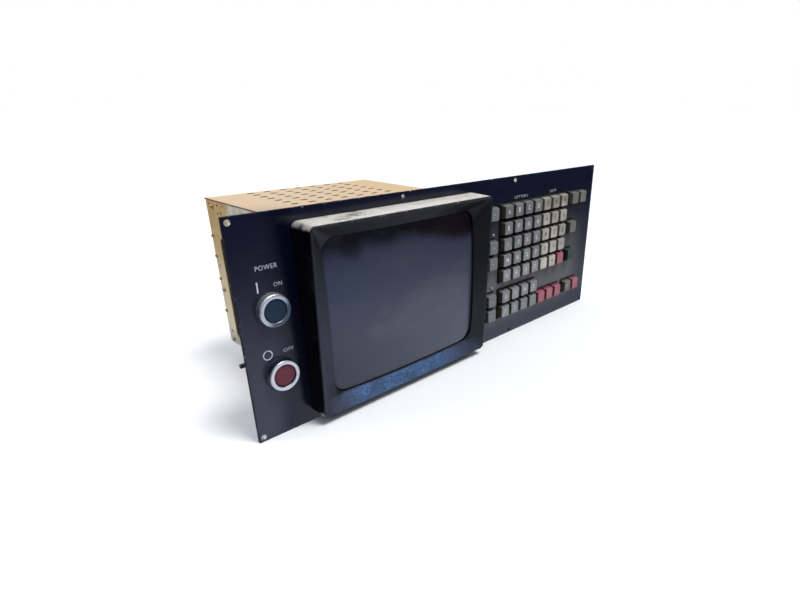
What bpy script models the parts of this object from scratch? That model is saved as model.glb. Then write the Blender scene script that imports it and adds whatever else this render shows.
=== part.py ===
"""Industrial operator panel: a flush-mounted control front with a nine-inch picture tube behind a
moulded bezel, two push buttons at its left and a 57-key keypad at its right. The tube sits
in a sheet-metal chassis behind the plate.

Frame: +X to the right, +Z up, -Y towards the person who uses it. The origin is on the rear
(mounting) face of the front plate, midway along its bottom row of mounting holes.
The pieces are drawn in millimetres from the plate's front face and bottom edge, and one empty
carries them all to that origin.
"""

import math

import bmesh
import bpy
from mathutils import Vector

for old in list(bpy.data.objects):
    bpy.data.objects.remove(old, do_unlink=True)

MM = 0.001
GAP = 0.3  # clearance between pieces that touch, mm

# ---------------------------------------------------------------- driving dimensions, mm
PLATE_W, PLATE_H, PLATE_T = 520.0, 195.0, 3.0
HOLE_R, HOLE_IN_X, HOLE_IN_Z, HOLE_MID_X = 2.25, 4.5, 4.4, 85.4

BEZEL_X = (-205.8, 14.4)
BEZEL_Z = (6.8, 184.6)
BEZEL_FRONT_TOP, BEZEL_FRONT_BOTTOM = 27.9, 18.8  # how far the rim stands off the plate
BEZEL_WALL = 3.0
SCREEN_X = (-187.0, -0.4)
SCREEN_Z = (22.6, 169.5)
SCREEN_R = 13.0
TUBE_W, TUBE_H, TUBE_R = 190.0, 151.0, 19.5
FACE_Y, FACE_RADIUS = -15.0, 1100.0
NECK_R, NECK_END = 10.5, 160.0
TUBE_CUT_W, TUBE_CUT_H, TUBE_CUT_R = 193.0, 154.0, 21.0

CHASSIS_X = (-197.0, 5.6)
CHASSIS_Z = (22.4, 182.0)
CHASSIS_REAR = 181.2
SHEET = 1.2
VENT_PITCH_X, VENT_PITCH_Y, VENT_COLUMNS, VENT_ROWS = 19.3, 15.0, 7, 10
VENT_L, VENT_W, VENT_FIRST_Y, VENT_MIDDLE = 7.5, 4.0, 174.0, -93.6

KEY_PITCH = 19.05
KEY_COLUMNS = (41.95, 67.6, 86.65, 105.7, 124.75, 143.8, 162.85, 181.9, 207.6, 226.65)
KEY_ROWS = {1: 157.4, 2: 138.35, 3: 119.3, 4: 100.25, 5: 81.2, 6: 54.5, 7: 35.45}
KEY_FACE, KEY_BASE, KEY_HEIGHT, KEY_TRAVEL = 6.85, 8.4, 7.7, 3.0
KEY_BACK, STEM, STEM_END, STEM_HOLE = 3.5, 3.0, 12.4, 3.4
KEY_CLEAR = 9.8  # half width of a key's cut-out in the plate
DECK_Y = (10.0, 16.0)
DECK_X, DECK_Z = (28.5, 238.5), (21.0, 173.0)
BOARD_T = 1.6

BUTTON_X, BUTTON_ON_Z, BUTTON_OFF_Z = -231.1, 117.1, 58.2
BUTTON_HOLE_R, BUSH_R, RING_R, CAP_R, CAP_BORE_R = 11.25, 10.95, 14.5, 9.8, 10.1
CAP_FRONT = 6.4
LED_AT = {"led_upper": (47.5, 132.5), "led_lower": (47.5, 68.3)}
LED_R = 1.45

POST_X, POST_TOP_Z, POST_BOTTOM_Z, POST_R = (-150.0, -40.0), 179.8, 11.6, 3.2

SCREEN_CX = sum(SCREEN_X) / 2
SCREEN_CZ = sum(SCREEN_Z) / 2

# ---------------------------------------------------------------- carriers and finishes
datum = bpy.data.objects.new("plate_datum", None)
datum.location = (0.0, -PLATE_T * MM, -HOLE_IN_Z * MM)
bpy.context.scene.collection.objects.link(datum)

FINISHES = {
    "navy_paint": ((0.010, 0.011, 0.030), 0.38, 0.0),
    "bezel_plastic": ((0.030, 0.030, 0.036), 0.55, 0.0),
    "tube_glass": ((0.040, 0.047, 0.075), 0.12, 0.0),
    "band_steel": ((0.45, 0.45, 0.46), 0.45, 0.9),
    "copper_coil": ((0.42, 0.17, 0.07), 0.45, 0.6),
    "board_green": ((0.03, 0.16, 0.07), 0.5, 0.0),
    "chromate_steel": ((0.38, 0.25, 0.10), 0.42, 0.8),
    "cover_cream": ((0.72, 0.58, 0.42), 0.5, 0.0),
    "black_plastic": ((0.015, 0.015, 0.016), 0.5, 0.0),
    "connector_ivory": ((0.75, 0.72, 0.62), 0.5, 0.0),
    "chrome": ((0.70, 0.71, 0.74), 0.15, 1.0),
    "cap_teal": ((0.010, 0.035, 0.060), 0.35, 0.0),
    "cap_red": ((0.16, 0.020, 0.030), 0.35, 0.0),
    "key_grey": ((0.17, 0.175, 0.18), 0.6, 0.0),
    "key_warm": ((0.34, 0.32, 0.26), 0.6, 0.0),
    "key_pale": ((0.20, 0.21, 0.24), 0.6, 0.0),
    "key_red": ((0.38, 0.055, 0.085), 0.55, 0.0),
    "key_green": ((0.02, 0.08, 0.055), 0.55, 0.0),
    "led_lens": ((0.72, 0.70, 0.66), 0.25, 0.0),
}


def finish(name):
    material = bpy.data.materials.get(name)
    if material is None:
        colour, roughness, metallic = FINISHES[name]
        material = bpy.data.materials.new(name)
        material.use_nodes = True
        shader = material.node_tree.nodes["Principled BSDF"]
        shader.inputs["Base Color"].default_value = (*colour, 1.0)
        shader.inputs["Roughness"].default_value = roughness
        shader.inputs["Metallic"].default_value = metallic
        material.diffuse_color = (*colour, 1.0)
    return material


def piece(name, bm, material, at=(0.0, 0.0, 0.0), smooth=False):
    """Makes the object of one piece, with its origin at `at`, all in mm from the plate's datum."""
    bmesh.ops.recalc_face_normals(bm, faces=bm.faces)
    bmesh.ops.translate(bm, verts=bm.verts, vec=-Vector(at))
    bmesh.ops.scale(bm, verts=bm.verts, vec=(MM, MM, MM))
    mesh = bpy.data.meshes.new(name)
    bm.to_mesh(mesh)
    bm.free()
    if smooth:
        mesh.shade_smooth()
        mesh.set_sharp_from_angle(angle=math.radians(35))
    obj = bpy.data.objects.new(name, mesh)
    obj.parent = datum
    obj.location = Vector(at) * MM
    if material:
        mesh.materials.append(finish(material))
    bpy.context.scene.collection.objects.link(obj)
    return obj


def helper(name, bm):
    """A shape that only cuts or joins another."""
    obj = piece(name, bm, None)
    obj.hide_render = True
    obj.display_type = "WIRE"
    return obj


def combine(obj, operation, other):
    step = obj.modifiers.new(f"{operation.lower()}_{other.name}", "BOOLEAN")
    step.operation = operation
    step.solver = "EXACT"
    step.object = other


# ---------------------------------------------------------------- shapes
def rect(x0, x1, z0, z1):
    return [(x0, z0), (x1, z0), (x1, z1), (x0, z1)]


def circle(cx, cz, r, n=16):
    return [
        (cx + r * math.cos(2 * math.pi * i / n), cz + r * math.sin(2 * math.pi * i / n))
        for i in range(n)
    ]


def round_rect(cx, cz, w, h, r, corner=5, side=0):
    """A rounded rectangle with `corner` points in each corner and `side` points between corners."""
    points = []
    centres = ((1, 1, 0), (-1, 1, 90), (-1, -1, 180), (1, -1, 270))
    for sx, sz, start in centres:
        mx, mz = cx + sx * (w / 2 - r), cz + sz * (h / 2 - r)
        for i in range(corner):
            a = math.radians(start + 90 * i / (corner - 1))
            points.append((mx + r * math.cos(a), mz + r * math.sin(a)))
    if not side:
        return points
    spread = []
    for i, p in enumerate(points):
        spread.append(p)
        if i % corner == corner - 1:
            q = points[(i + 1) % len(points)]
            spread += [
                (p[0] + (q[0] - p[0]) * k / (side + 1), p[1] + (q[1] - p[1]) * k / (side + 1))
                for k in range(1, side + 1)
            ]
    return spread


def slab(bm, loops, low, high, axis="Y"):
    """A flat piece: an outline with holes, from `low` to `high` along the axis.
    Its outline is in X and Z for a slab along Y, Y and Z along X, and X and Y along Z."""

    def put(u, v, a):
        return {"Y": (u, a, v), "X": (a, u, v), "Z": (u, v, a)}[axis]

    edges = []
    for loop in loops:
        verts = [bm.verts.new(put(u, v, low)) for u, v in loop]
        edges += [bm.edges.new((verts[i - 1], verts[i])) for i in range(len(verts))]
    made = bmesh.ops.triangle_fill(bm, use_beauty=True, use_dissolve=False, edges=edges)
    faces = [g for g in made["geom"] if isinstance(g, bmesh.types.BMFace)]
    grown = bmesh.ops.extrude_face_region(bm, geom=faces)
    moved = [g for g in grown["geom"] if isinstance(g, bmesh.types.BMVert)]
    bmesh.ops.translate(bm, verts=moved, vec=Vector(put(0, 0, high - low)))


def block(bm, x0, x1, y0, y1, z0, z1):
    slab(bm, [rect(x0, x1, z0, z1)], y0, y1)


def loft(bm, loops, ring=False):
    """Skins loops of equal length. A ring joins its last loop to its first; otherwise both ends are capped."""
    rows = [[bm.verts.new(p) for p in loop] for loop in loops]
    pairs = list(zip(rows, rows[1:] + rows[:1])) if ring else list(zip(rows, rows[1:]))
    for a, b in pairs:
        for i in range(len(a)):
            bm.faces.new((a[i - 1], a[i], b[i], b[i - 1]))
    if not ring:
        bm.faces.new(rows[0])
        bm.faces.new(rows[-1])


def turned(bm, profile, cx, cz, steps, ring=False):
    """Turns (radius, y) stations about the Y axis through (cx, cz)."""
    loft(bm, [[(x, y, z) for x, z in circle(cx, cz, r, steps)] for r, y in profile], ring)


def face_y(x, z):
    return FACE_Y + ((x - SCREEN_CX) ** 2 + (z - SCREEN_CZ) ** 2) / (2 * FACE_RADIUS)


def rim_y(z):
    share = (z - BEZEL_Z[0]) / (BEZEL_Z[1] - BEZEL_Z[0])
    return -(BEZEL_FRONT_BOTTOM + (BEZEL_FRONT_TOP - BEZEL_FRONT_BOTTOM) * share)


# ---------------------------------------------------------------- keypad layout
SINGLE_KEYS = {
    "key_number": [(r, c) for r in (1, 2, 3, 4, 5) for c in (5, 6, 7)],
    "key_side": [(1, 8), (1, 9), (3, 8), (5, 8)],
    "key_function": [(7, 5), (7, 6), (7, 7), (7, 8), (7, 9)],
    "key_reset": [(1, 0)],
}
KEY_BANKS = {
    "key_bank_page": [(3, 0), (4, 0)],
    "key_bank_mode": [(6, 0), (7, 0)],
    "key_bank_letters_1": [(r, 1) for r in (1, 2, 3, 4, 5)],
    "key_bank_letters_2": [(r, 2) for r in (1, 2, 3, 4, 5)],
    "key_bank_letters_3": [(r, 3) for r in (1, 2, 3, 4, 5)],
    "key_bank_letters_4": [(r, 4) for r in (1, 2, 3, 4, 5)],
    "key_bank_edit_1": [(6, c) for c in (1, 2, 3, 4)],
    "key_bank_edit_2": [(7, c) for c in (1, 2, 3, 4)],
}
ALL_KEYS = [k for group in (*SINGLE_KEYS.values(), *KEY_BANKS.values()) for k in group]


def key_at(key):
    return KEY_COLUMNS[key[1]], KEY_ROWS[key[0]]


def key_finish(key):
    if key == (5, 7) or key in ((7, 5), (7, 6), (7, 7), (7, 9)):
        return "key_red"
    if key == (5, 8):
        return "key_green"
    if key[1] in (5, 6, 7) and key[0] <= 5:
        return "key_warm"
    return "key_pale" if key[1] == 0 else "key_grey"


def around(keys):
    """The cut-out that clears a rectangular group of keys."""
    xs, zs = zip(*(key_at(k) for k in keys))
    return rect(min(xs) - KEY_CLEAR, max(xs) + KEY_CLEAR, min(zs) - KEY_CLEAR, max(zs) + KEY_CLEAR)


def edit_group():
    """The stepped cut-out of the two bottom rows."""
    x1, x4, x7 = (KEY_COLUMNS[c] for c in (1, 4, 7))
    z6, z7, k = KEY_ROWS[6], KEY_ROWS[7], KEY_CLEAR
    return [
        (x1 - k, z7 - k),
        (x7 + k, z7 - k),
        (x7 + k, z7 + k),
        (x4 + k, z7 + k),
        (x4 + k, z6 + k),
        (x1 - k, z6 + k),
    ]


# ---------------------------------------------------------------- front plate
def front_plate():
    loops = [rect(-PLATE_W / 2, PLATE_W / 2, 0, PLATE_H)]
    for z in (HOLE_IN_Z, PLATE_H - HOLE_IN_Z):
        for x in (PLATE_W / 2 - HOLE_IN_X, HOLE_MID_X):
            loops += [circle(-x, z, HOLE_R, 12), circle(x, z, HOLE_R, 12)]
    loops.append(round_rect(SCREEN_CX, SCREEN_CZ, TUBE_CUT_W, TUBE_CUT_H, TUBE_CUT_R))
    loops += [circle(BUTTON_X, z, BUTTON_HOLE_R, 24) for z in (BUTTON_ON_Z, BUTTON_OFF_Z)]
    loops += [circle(x, z, POST_R + GAP, 12) for x in POST_X for z in (POST_TOP_Z, POST_BOTTOM_Z)]
    loops += [circle(x, z, LED_R + GAP, 12) for x, z in LED_AT.values()]
    loops += [
        around([(r, c) for r in (1, 5) for c in (1, 7)]),
        edit_group(),
        around([(1, 8), (1, 9)]),
        around([(3, 8)]),
        around([(5, 8)]),
        around([(7, 8), (7, 9)]),
        around([(1, 0)]),
        around([(3, 0), (4, 0)]),
        around([(6, 0), (7, 0)]),
    ]
    bm = bmesh.new()
    slab(bm, loops, 0, PLATE_T)
    plate = piece("front_panel", bm, "navy_paint")
    # Weld studs on the back carry the chassis flanges.
    studs = bmesh.new()
    for x in (CHASSIS_X[0] - 5.5, CHASSIS_X[1] + 5.5):
        for z in (45.0, 158.0):
            turned(studs, [(2.0, PLATE_T - 1), (2.0, 9.5)], x, z, 10)
    combine(plate, "UNION", helper("plate_studs", studs))


# ---------------------------------------------------------------- bezel and picture tube
def bezel():
    cx, cz = sum(BEZEL_X) / 2, sum(BEZEL_Z) / 2
    w, h = BEZEL_X[1] - BEZEL_X[0], BEZEL_Z[1] - BEZEL_Z[0]
    sw, sh = SCREEN_X[1] - SCREEN_X[0], SCREEN_Z[1] - SCREEN_Z[0]

    def outer(inset, r, depth):
        flat = round_rect(cx, cz, w - 2 * inset, h - 2 * inset, r, 5, 3)
        return [(x, depth(x, z), z) for x, z in flat]

    def inner(outset, depth):
        flat = round_rect(
            SCREEN_CX, SCREEN_CZ, sw + 2 * outset, sh + 2 * outset, SCREEN_R + outset, 5, 3
        )
        return [(x, depth(x, z), z) for x, z in flat]

    bm = bmesh.new()
    loft(
        bm,
        [
            outer(0.0, 6.5, lambda x, z: -GAP),
            outer(0.9, 5.0, lambda x, z: rim_y(z) + 1.2),
            outer(1.9, 4.0, lambda x, z: rim_y(z)),
            outer(3.4, 3.5, lambda x, z: rim_y(z) + 0.4),
            inner(0.0, lambda x, z: face_y(x, z) - 2.3),
            inner(0.0, lambda x, z: face_y(x, z) - 0.8),
            inner(3.6, lambda x, z: face_y(x, z) - 0.5),
            outer(BEZEL_WALL + 1.0, 3.0, lambda x, z: rim_y(z) + 4.2),
            outer(BEZEL_WALL, 3.0, lambda x, z: -GAP),
        ],
        ring=True,
    )
    frame = piece("crt_bezel", bm, "bezel_plastic")
    # Four hollow-side posts reach through the plate, where screws hold the bezel from behind.
    posts = bmesh.new()
    for x in POST_X:
        turned(posts, [(POST_R, -20.0), (POST_R, 5.0)], x, POST_TOP_Z, 12)
        turned(posts, [(POST_R, -12.5), (POST_R, 5.0)], x, POST_BOTTOM_Z, 12)
    combine(frame, "UNION", helper("bezel_posts", posts))


def tube_loop(scale, y, roundness=0.0, radius=None):
    """A section of the bulb: the skirt's outline scaled, and blended into a circle towards the neck."""
    flat = round_rect(0, 0, TUBE_W * scale, TUBE_H * scale, TUBE_R * scale, 5, 3)
    points = []
    for x, z in flat:
        if radius is not None:
            a = math.atan2(z, x)
            x += (radius * math.cos(a) - x) * roundness
            z += (radius * math.sin(a) - z) * roundness
        px, pz = x + SCREEN_CX, z + SCREEN_CZ
        points.append((px, face_y(px, pz) if y is None else y, pz))
    return points


def picture_tube():
    bm = bmesh.new()
    face = [tube_loop(s, None) for s in (0.3, 0.6, 0.85, 0.985)]
    body = [
        [(x, face_y(x, z) + 2.2, z) for x, _, z in tube_loop(1.0, None)],
        tube_loop(1.0, 10.0),
        tube_loop(0.94, 24.0),
        tube_loop(0.80, 42.0, 0.15, 70.0),
        tube_loop(0.60, 62.0, 0.5, 52.0),
        tube_loop(0.40, 80.0, 0.85, 32.0),
        tube_loop(0.2, 96.0, 1.0, 17.0),
        tube_loop(0.2, 106.0, 1.0, NECK_R + 1.0),
        tube_loop(0.2, 112.0, 1.0, NECK_R),
        tube_loop(0.2, NECK_END - 2, 1.0, NECK_R),
        tube_loop(0.2, NECK_END, 1.0, NECK_R - 2.5),
    ]
    loft(bm, face + body)
    # The first cap is a flat polygon; the crown of the glass is a fan to its centre.
    bm.faces.ensure_lookup_table()
    crown = bmesh.ops.poke(bm, faces=[bm.faces[-2]])
    crown["verts"][0].co.y = FACE_Y
    piece("picture_tube", bm, "tube_glass", smooth=True)

    def around_skirt(grow, y):
        flat = round_rect(
            SCREEN_CX, SCREEN_CZ, TUBE_W + 2 * grow, TUBE_H + 2 * grow, TUBE_R + grow, 5
        )
        return [(x, y, z) for x, z in flat]

    y0, y1 = PLATE_T + GAP, PLATE_T + 12.0
    bm = bmesh.new()
    loft(
        bm,
        [
            around_skirt(0.4, y0),
            around_skirt(2.2, y0),
            around_skirt(2.2, y1),
            around_skirt(0.4, y1),
        ],
        ring=True,
    )
    band = piece("tube_rim_band", bm, "band_steel", smooth=True)
    ears = bmesh.new()
    for sx in (-1, 1):
        for sz in (-1, 1):
            along, across = Vector((sx, sz)).normalized(), Vector((-sz, sx)).normalized()
            root = Vector((SCREEN_CX + sx * 89.4, SCREEN_CZ + sz * 69.9))
            corners = [(0, -7), (13, -7), (18, -3), (18, 3), (13, 7), (0, 7)]
            outline = [tuple(root + along * u + across * v) for u, v in corners]
            hole = root + along * 11.0
            slab(ears, [outline, circle(hole.x, hole.y, 2.4, 10)], y0 + 0.1, y0 + 1.7)
    combine(band, "UNION", helper("band_ears", ears))

    bm = bmesh.new()
    turned(
        bm,
        [
            (24.0, 84.0),
            (36.0, 84.0),
            (36.0, 87.0),
            (31.0, 89.0),
            (26.0, 104.0),
            (25.0, 112.0),
            (27.0, 114.0),
            (27.0, 118.0),
            (NECK_R + 1.0, 118.0),
            (NECK_R + 1.0, 113.0),
            (NECK_R + 2.2, 106.0),
            (18.6, 96.0),
        ],
        SCREEN_CX,
        SCREEN_CZ,
        20,
        ring=True,
    )
    # The flared front of the coil follows the bulb: the bore there is cut by the bulb's own section.
    yoke = piece("deflection_yoke", bm, "copper_coil", smooth=True)
    flare = bmesh.new()
    loft(
        flare,
        [
            [(x, y, z) for x, y, z in tube_loop(0.46, 74.0, 0.8, 40.5)],
            [(x, y, z) for x, y, z in tube_loop(0.40, 84.0, 0.88, 31.5)],
            [(x, y, z) for x, y, z in tube_loop(0.22, 97.0, 1.0, 17.6)],
        ],
    )
    combine(yoke, "DIFFERENCE", helper("yoke_flare", flare))

    bm = bmesh.new()
    outline = rect(SCREEN_CX - 30, SCREEN_CX + 30, SCREEN_CZ - 28, SCREEN_CZ + 28)
    slab(bm, [outline], 168.0, 168.0 + BOARD_T)
    board = piece("neck_board", bm, "board_green")
    socket = bmesh.new()
    turned(socket, [(12.0, NECK_END + 0.6), (12.0, 168.6)], SCREEN_CX, SCREEN_CZ, 16)
    combine(board, "UNION", helper("neck_socket", socket))


# ---------------------------------------------------------------- chassis
def chassis():
    x0, x1 = CHASSIS_X
    z0, z1 = CHASSIS_Z
    front = PLATE_T + 2.2
    rear_in = CHASSIS_REAR - SHEET - GAP
    top_in = z1 - SHEET - GAP

    def yz(y_low, y_high, z_low, z_high):
        return [(y_low, z_low), (y_high, z_low), (y_high, z_high), (y_low, z_high)]

    # Left plate: a large window, and the row of small holes along its rear edge.
    loops = [yz(front, rear_in, z0, top_in)]
    window = round_rect(98.0, 88.0, 128.0, 112.0, 6.0, 4)
    loops.append(window)
    for y, z in ((172.0, 36.5), (173.7, 85.2), (174.0, 112.0)):
        loops.append(circle(y, z, 1.5, 8))
    for y in (149.4, 156.0):
        loops.append(circle(y, 169.5, 1.5, 8))
    bm = bmesh.new()
    slab(bm, loops, x0, x0 + SHEET, "X")
    left = piece("chassis_left_plate", bm, "chromate_steel")
    flange = bmesh.new()
    slab(
        flange,
        [
            rect(x0 - 11.0, x0 + 0.6, 30.0, 172.0),
            circle(x0 - 5.5, 45.0, 2.4, 10),
            circle(x0 - 5.5, 158.0, 2.4, 10),
        ],
        front + 0.1,
        front + 0.1 + SHEET,
    )
    combine(left, "UNION", helper("left_flange", flange))

    # Right plate: closed, with the same flange turned the other way.
    loops = [yz(front, rear_in, z0, top_in)]
    for y, z in ((172.0, 36.5), (173.7, 85.2), (149.4, 169.5), (156.0, 169.5)):
        loops.append(circle(y, z, 1.5, 8))
    bm = bmesh.new()
    slab(bm, loops, x1 - SHEET, x1, "X")
    right = piece("chassis_right_plate", bm, "chromate_steel")
    flange = bmesh.new()
    slab(
        flange,
        [
            rect(x1 - 0.6, x1 + 11.0, 30.0, 172.0),
            circle(x1 + 5.5, 45.0, 2.4, 10),
            circle(x1 + 5.5, 158.0, 2.4, 10),
        ],
        front + 0.1,
        front + 0.1 + SHEET,
    )
    combine(right, "UNION", helper("right_flange", flange))

    # Top cover: a flat lid with rows of short ventilation slots.
    loops = [[(x0 - 0.8, front + 0.8), (x1 + 0.8, front + 0.8), (x1 + 0.8, CHASSIS_REAR), (x0 - 0.8, CHASSIS_REAR)]]
    for i in range(VENT_COLUMNS):
        x = VENT_MIDDLE + (i - (VENT_COLUMNS - 1) / 2) * VENT_PITCH_X
        for j in range(VENT_ROWS):
            y = VENT_FIRST_Y - j * VENT_PITCH_Y
            loops.append(rect(x - VENT_L / 2, x + VENT_L / 2, y - VENT_W / 2, y + VENT_W / 2))
    bm = bmesh.new()
    slab(bm, loops, z1 - SHEET, z1, "Z")
    piece("chassis_top_cover", bm, "cover_cream")

    # Bottom plate: it starts behind the bulb's skirt.
    inner = (x0 + SHEET + GAP, x1 - SHEET - GAP)
    bm = bmesh.new()
    block(bm, inner[0], inner[1], 34.0, rear_in, z0 + 0.2, z0 + 0.2 + SHEET)
    piece("chassis_bottom_plate", bm, "chromate_steel")

    # Rear plate, with the cut-out of the signal connector.
    loops = [
        rect(x0 + 0.3, x1 - 0.3, z0, top_in),
        rect(-62.6, -19.4, 43.4, 60.6),
        circle(-150.0, 52.0, 3.0, 10),
        circle(-134.0, 52.0, 3.0, 10),
        circle(-118.0, 52.0, 3.0, 10),
    ]
    bm = bmesh.new()
    slab(bm, loops, CHASSIS_REAR - SHEET, CHASSIS_REAR)
    piece("chassis_rear_plate", bm, "chromate_steel")

    # Deflection board on the floor, with its parts standing on it.
    bm = bmesh.new()
    block(bm, -186.0, -14.0, 62.0, 166.0, 30.0, 30.0 + BOARD_T)
    board = piece("deflection_board", bm, "board_green")
    parts = bmesh.new()
    block(parts, -178.0, -170.0, 72.0, 150.0, 31.0, 58.0)
    for x, y, r, top in ((-150, 84, 8, 54), (-128, 84, 6, 50), (-150, 110, 6, 46), (-120, 150, 9, 52)):
        loft(parts, [[(x + r * math.cos(a), y + r * math.sin(a), z) for a in [math.tau * k / 12 for k in range(12)]] for z in (31.0, top)])
    block(parts, -100.0, -70.0, 128.0, 150.0, 31.0, 50.0)
    combine(board, "UNION", helper("board_parts", parts))
    for x, y in ((-182, 66), (-18, 66), (-182, 162), (-18, 162)):
        # Spacers hold the board off the bottom plate.
        spacer = bmesh.new()
        loft(spacer, [[(x + 3 * math.cos(a), y + 3 * math.sin(a), z) for a in [math.tau * k / 10 for k in range(10)]] for z in (z0 + 0.2 + SHEET + GAP, 30.8)])
        combine(board, "UNION", helper(f"spacer_{x}_{y}", spacer))

    bm = bmesh.new()
    block(bm, -52.0, -22.0, 108.0, 138.0, 32.0 - 0.1, 60.0)
    flyback = piece("flyback_transformer", bm, "black_plastic")
    winding = bmesh.new()
    loft(winding, [[(-37 + 12.5 * math.cos(a), 123 + 12.5 * math.sin(a), z) for a in [math.tau * k / 16 for k in range(16)]] for z in (59.0, 76.0)])
    combine(flyback, "UNION", helper("flyback_winding", winding))

    bm = bmesh.new()
    block(bm, -62.0, -20.0, 172.0, 189.0, 44.0, 60.0)
    connector = piece("signal_connector", bm, "connector_ivory")
    ends = bmesh.new()
    block(ends, -68.0, -14.0, CHASSIS_REAR + GAP, CHASSIS_REAR + GAP + 2.5, 44.5, 59.5)
    combine(connector, "UNION", helper("connector_ears", ends))


# ---------------------------------------------------------------- push buttons
def push_button(label, z, cap_finish):
    x = BUTTON_X
    bm = bmesh.new()
    turned(
        bm,
        [
            (CAP_BORE_R, 18.0),
            (BUSH_R, 18.0),
            (BUSH_R, -GAP),
            (RING_R, -GAP),
            (RING_R, -1.0),
            (14.0, -6.2),
            (13.6, -6.9),
            (10.5, -6.9),
            (CAP_BORE_R, -6.4),
        ],
        x,
        z,
        28,
        ring=True,
    )
    piece(f"{label}_button_ring", bm, "chrome", smooth=True)

    bm = bmesh.new()
    turned(
        bm,
        [
            (8.4, -CAP_FRONT),
            (9.4, -CAP_FRONT + 0.3),
            (CAP_R, -CAP_FRONT + 1.1),
            (CAP_R, 6.0),
            (4.0, 6.0),
            (4.0, 13.4),
        ],
        x,
        z,
        28,
    )
    piece(f"{label}_button_cap", bm, cap_finish, at=(x, -CAP_FRONT, z), smooth=True)

    bm = bmesh.new()
    back = PLATE_T + GAP
    turned(
        bm,
        [(BUSH_R + GAP, back), (14.4, back), (14.8, back + 0.8), (14.8, back + 4.2), (BUSH_R + GAP, back + 4.2)],
        x,
        z,
        24,
        ring=True,
    )
    piece(f"{label}_button_locknut", bm, "band_steel", smooth=True)

    bm = bmesh.new()
    block(bm, x - 14, x + 14, 18.3, 33.5, z - 19, z + 19)
    body = piece(f"{label}_contact_block", bm, "connector_ivory")
    ends = bmesh.new()
    for dx in (-7.0, 7.0):
        for dz in (-15.0, 15.0):
            block(ends, x + dx - 3.2, x + dx + 3.2, 32.5, 35.5, z + dz - 2.6, z + dz + 2.6)
    if label == "off":
        block(ends, x - 21.6, x - 13.5, 29.6, 32.8, z + 1.5, z + 4.7)
    combine(body, "UNION", helper(f"{label}_terminals", ends))


# ---------------------------------------------------------------- keypad
def keycap(bm, x, z):
    """One cap: a truncated pyramid on a square base, with its stem behind."""
    stations = [
        (KEY_FACE, -KEY_HEIGHT),
        (KEY_BASE, -0.5),
        (KEY_BASE, KEY_BACK),
        (STEM, KEY_BACK),
        (STEM, STEM_END),
    ]
    loft(bm, [[(x + u * s, y, z + v * s) for u, v in ((-1, -1), (1, -1), (1, 1), (-1, 1))] for s, y in stations])


def keypad():
    for kind, keys in SINGLE_KEYS.items():
        for row, column in keys:
            x, z = key_at((row, column))
            bm = bmesh.new()
            keycap(bm, x, z)
            name = kind if len(keys) == 1 else f"{kind}_r{row}c{column}"
            piece(name, bm, key_finish((row, column)), at=(x, -KEY_HEIGHT, z))
    for name, keys in KEY_BANKS.items():
        caps = bmesh.new()
        for key in keys:
            keycap(caps, *key_at(key))
        xs, zs = zip(*(key_at(k) for k in keys))
        at = (sum(xs) / len(xs), -KEY_HEIGHT, sum(zs) / len(zs))
        bank = piece(name, caps, key_finish(keys[0]), at=at)
        web = bmesh.new()
        block(web, min(xs) - 2, max(xs) + 2, 1.4, 3.0, min(zs) - 2, max(zs) + 2)
        combine(bank, "UNION", helper(f"{name}_web", web))

    # The deck of switch housings, with a square well for each stem, and its posts to the plate.
    loops = [rect(*DECK_X, *DECK_Z)]
    for key in ALL_KEYS:
        x, z = key_at(key)
        loops.append(rect(x - STEM_HOLE, x + STEM_HOLE, z - STEM_HOLE, z + STEM_HOLE))
    bm = bmesh.new()
    slab(bm, loops, *DECK_Y)
    deck = piece("switch_deck", bm, "black_plastic")
    posts = bmesh.new()
    for x, z in ((54.8, 157.4), (54.8, 82.0), (54.8, 32.0), (216.0, 138.4), (194.8, 103.0), (230.0, 58.0)):
        turned(posts, [(2.6, PLATE_T + GAP), (2.6, DECK_Y[0] + 1)], x, z, 10)
    combine(deck, "UNION", helper("deck_posts", posts))
    # Walls beside the outer keys close the space behind the plate.
    walls = bmesh.new()
    front, back = PLATE_T + GAP, DECK_Y[0] + 1
    block(walls, DECK_X[0] + 0.3, DECK_X[0] + 2.3, front, back, DECK_Z[0] + 0.3, DECK_Z[1] - 0.3)
    for z0, z1 in ((22.0, 48.0), (145.0, 172.0)):
        block(walls, DECK_X[1] - 2.0, DECK_X[1] - 0.2, front, back, z0, z1)
    combine(deck, "UNION", helper("deck_walls", walls))

    bm = bmesh.new()
    slab(bm, [rect(DECK_X[0] + 1, DECK_X[1] - 1, DECK_Z[0] + 1, DECK_Z[1] - 1)], DECK_Y[1] + GAP, DECK_Y[1] + GAP + BOARD_T)
    piece("keyboard_board", bm, "board_green")
    bm = bmesh.new()
    back = DECK_Y[1] + 2 * GAP + BOARD_T
    block(bm, 150.0, 200.0, back, back + 9.0, 60.0, 68.0)
    piece("keyboard_connector", bm, "connector_ivory")

    for name, (x, z) in LED_AT.items():
        bm = bmesh.new()
        turned(
            bm,
            [
                (0.55, -2.2),
                (1.15, -1.7),
                (LED_R, -0.9),
                (LED_R, PLATE_T + GAP),
                (1.9, PLATE_T + GAP),
                (1.9, PLATE_T + 1.4),
                (LED_R, PLATE_T + 1.4),
                (LED_R, 9.6),
            ],
            x,
            z,
            12,
        )
        piece(name, bm, "led_lens", smooth=True)


front_plate()
bezel()
picture_tube()
chassis()
push_button("on", BUTTON_ON_Z, "cap_teal")
push_button("off", BUTTON_OFF_Z, "cap_red")
keypad()
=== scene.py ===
"""Looks of an industrial operator panel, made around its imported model.

Pieces are drawn in millimetres from the front plate's front face and bottom edge, with +X to the
right, +Y back into the cabinet and +Z up, and are moved to the shared frame as they are made.
"""

import math

import bmesh
import bpy
from mathutils import Matrix, Vector, noise


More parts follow.
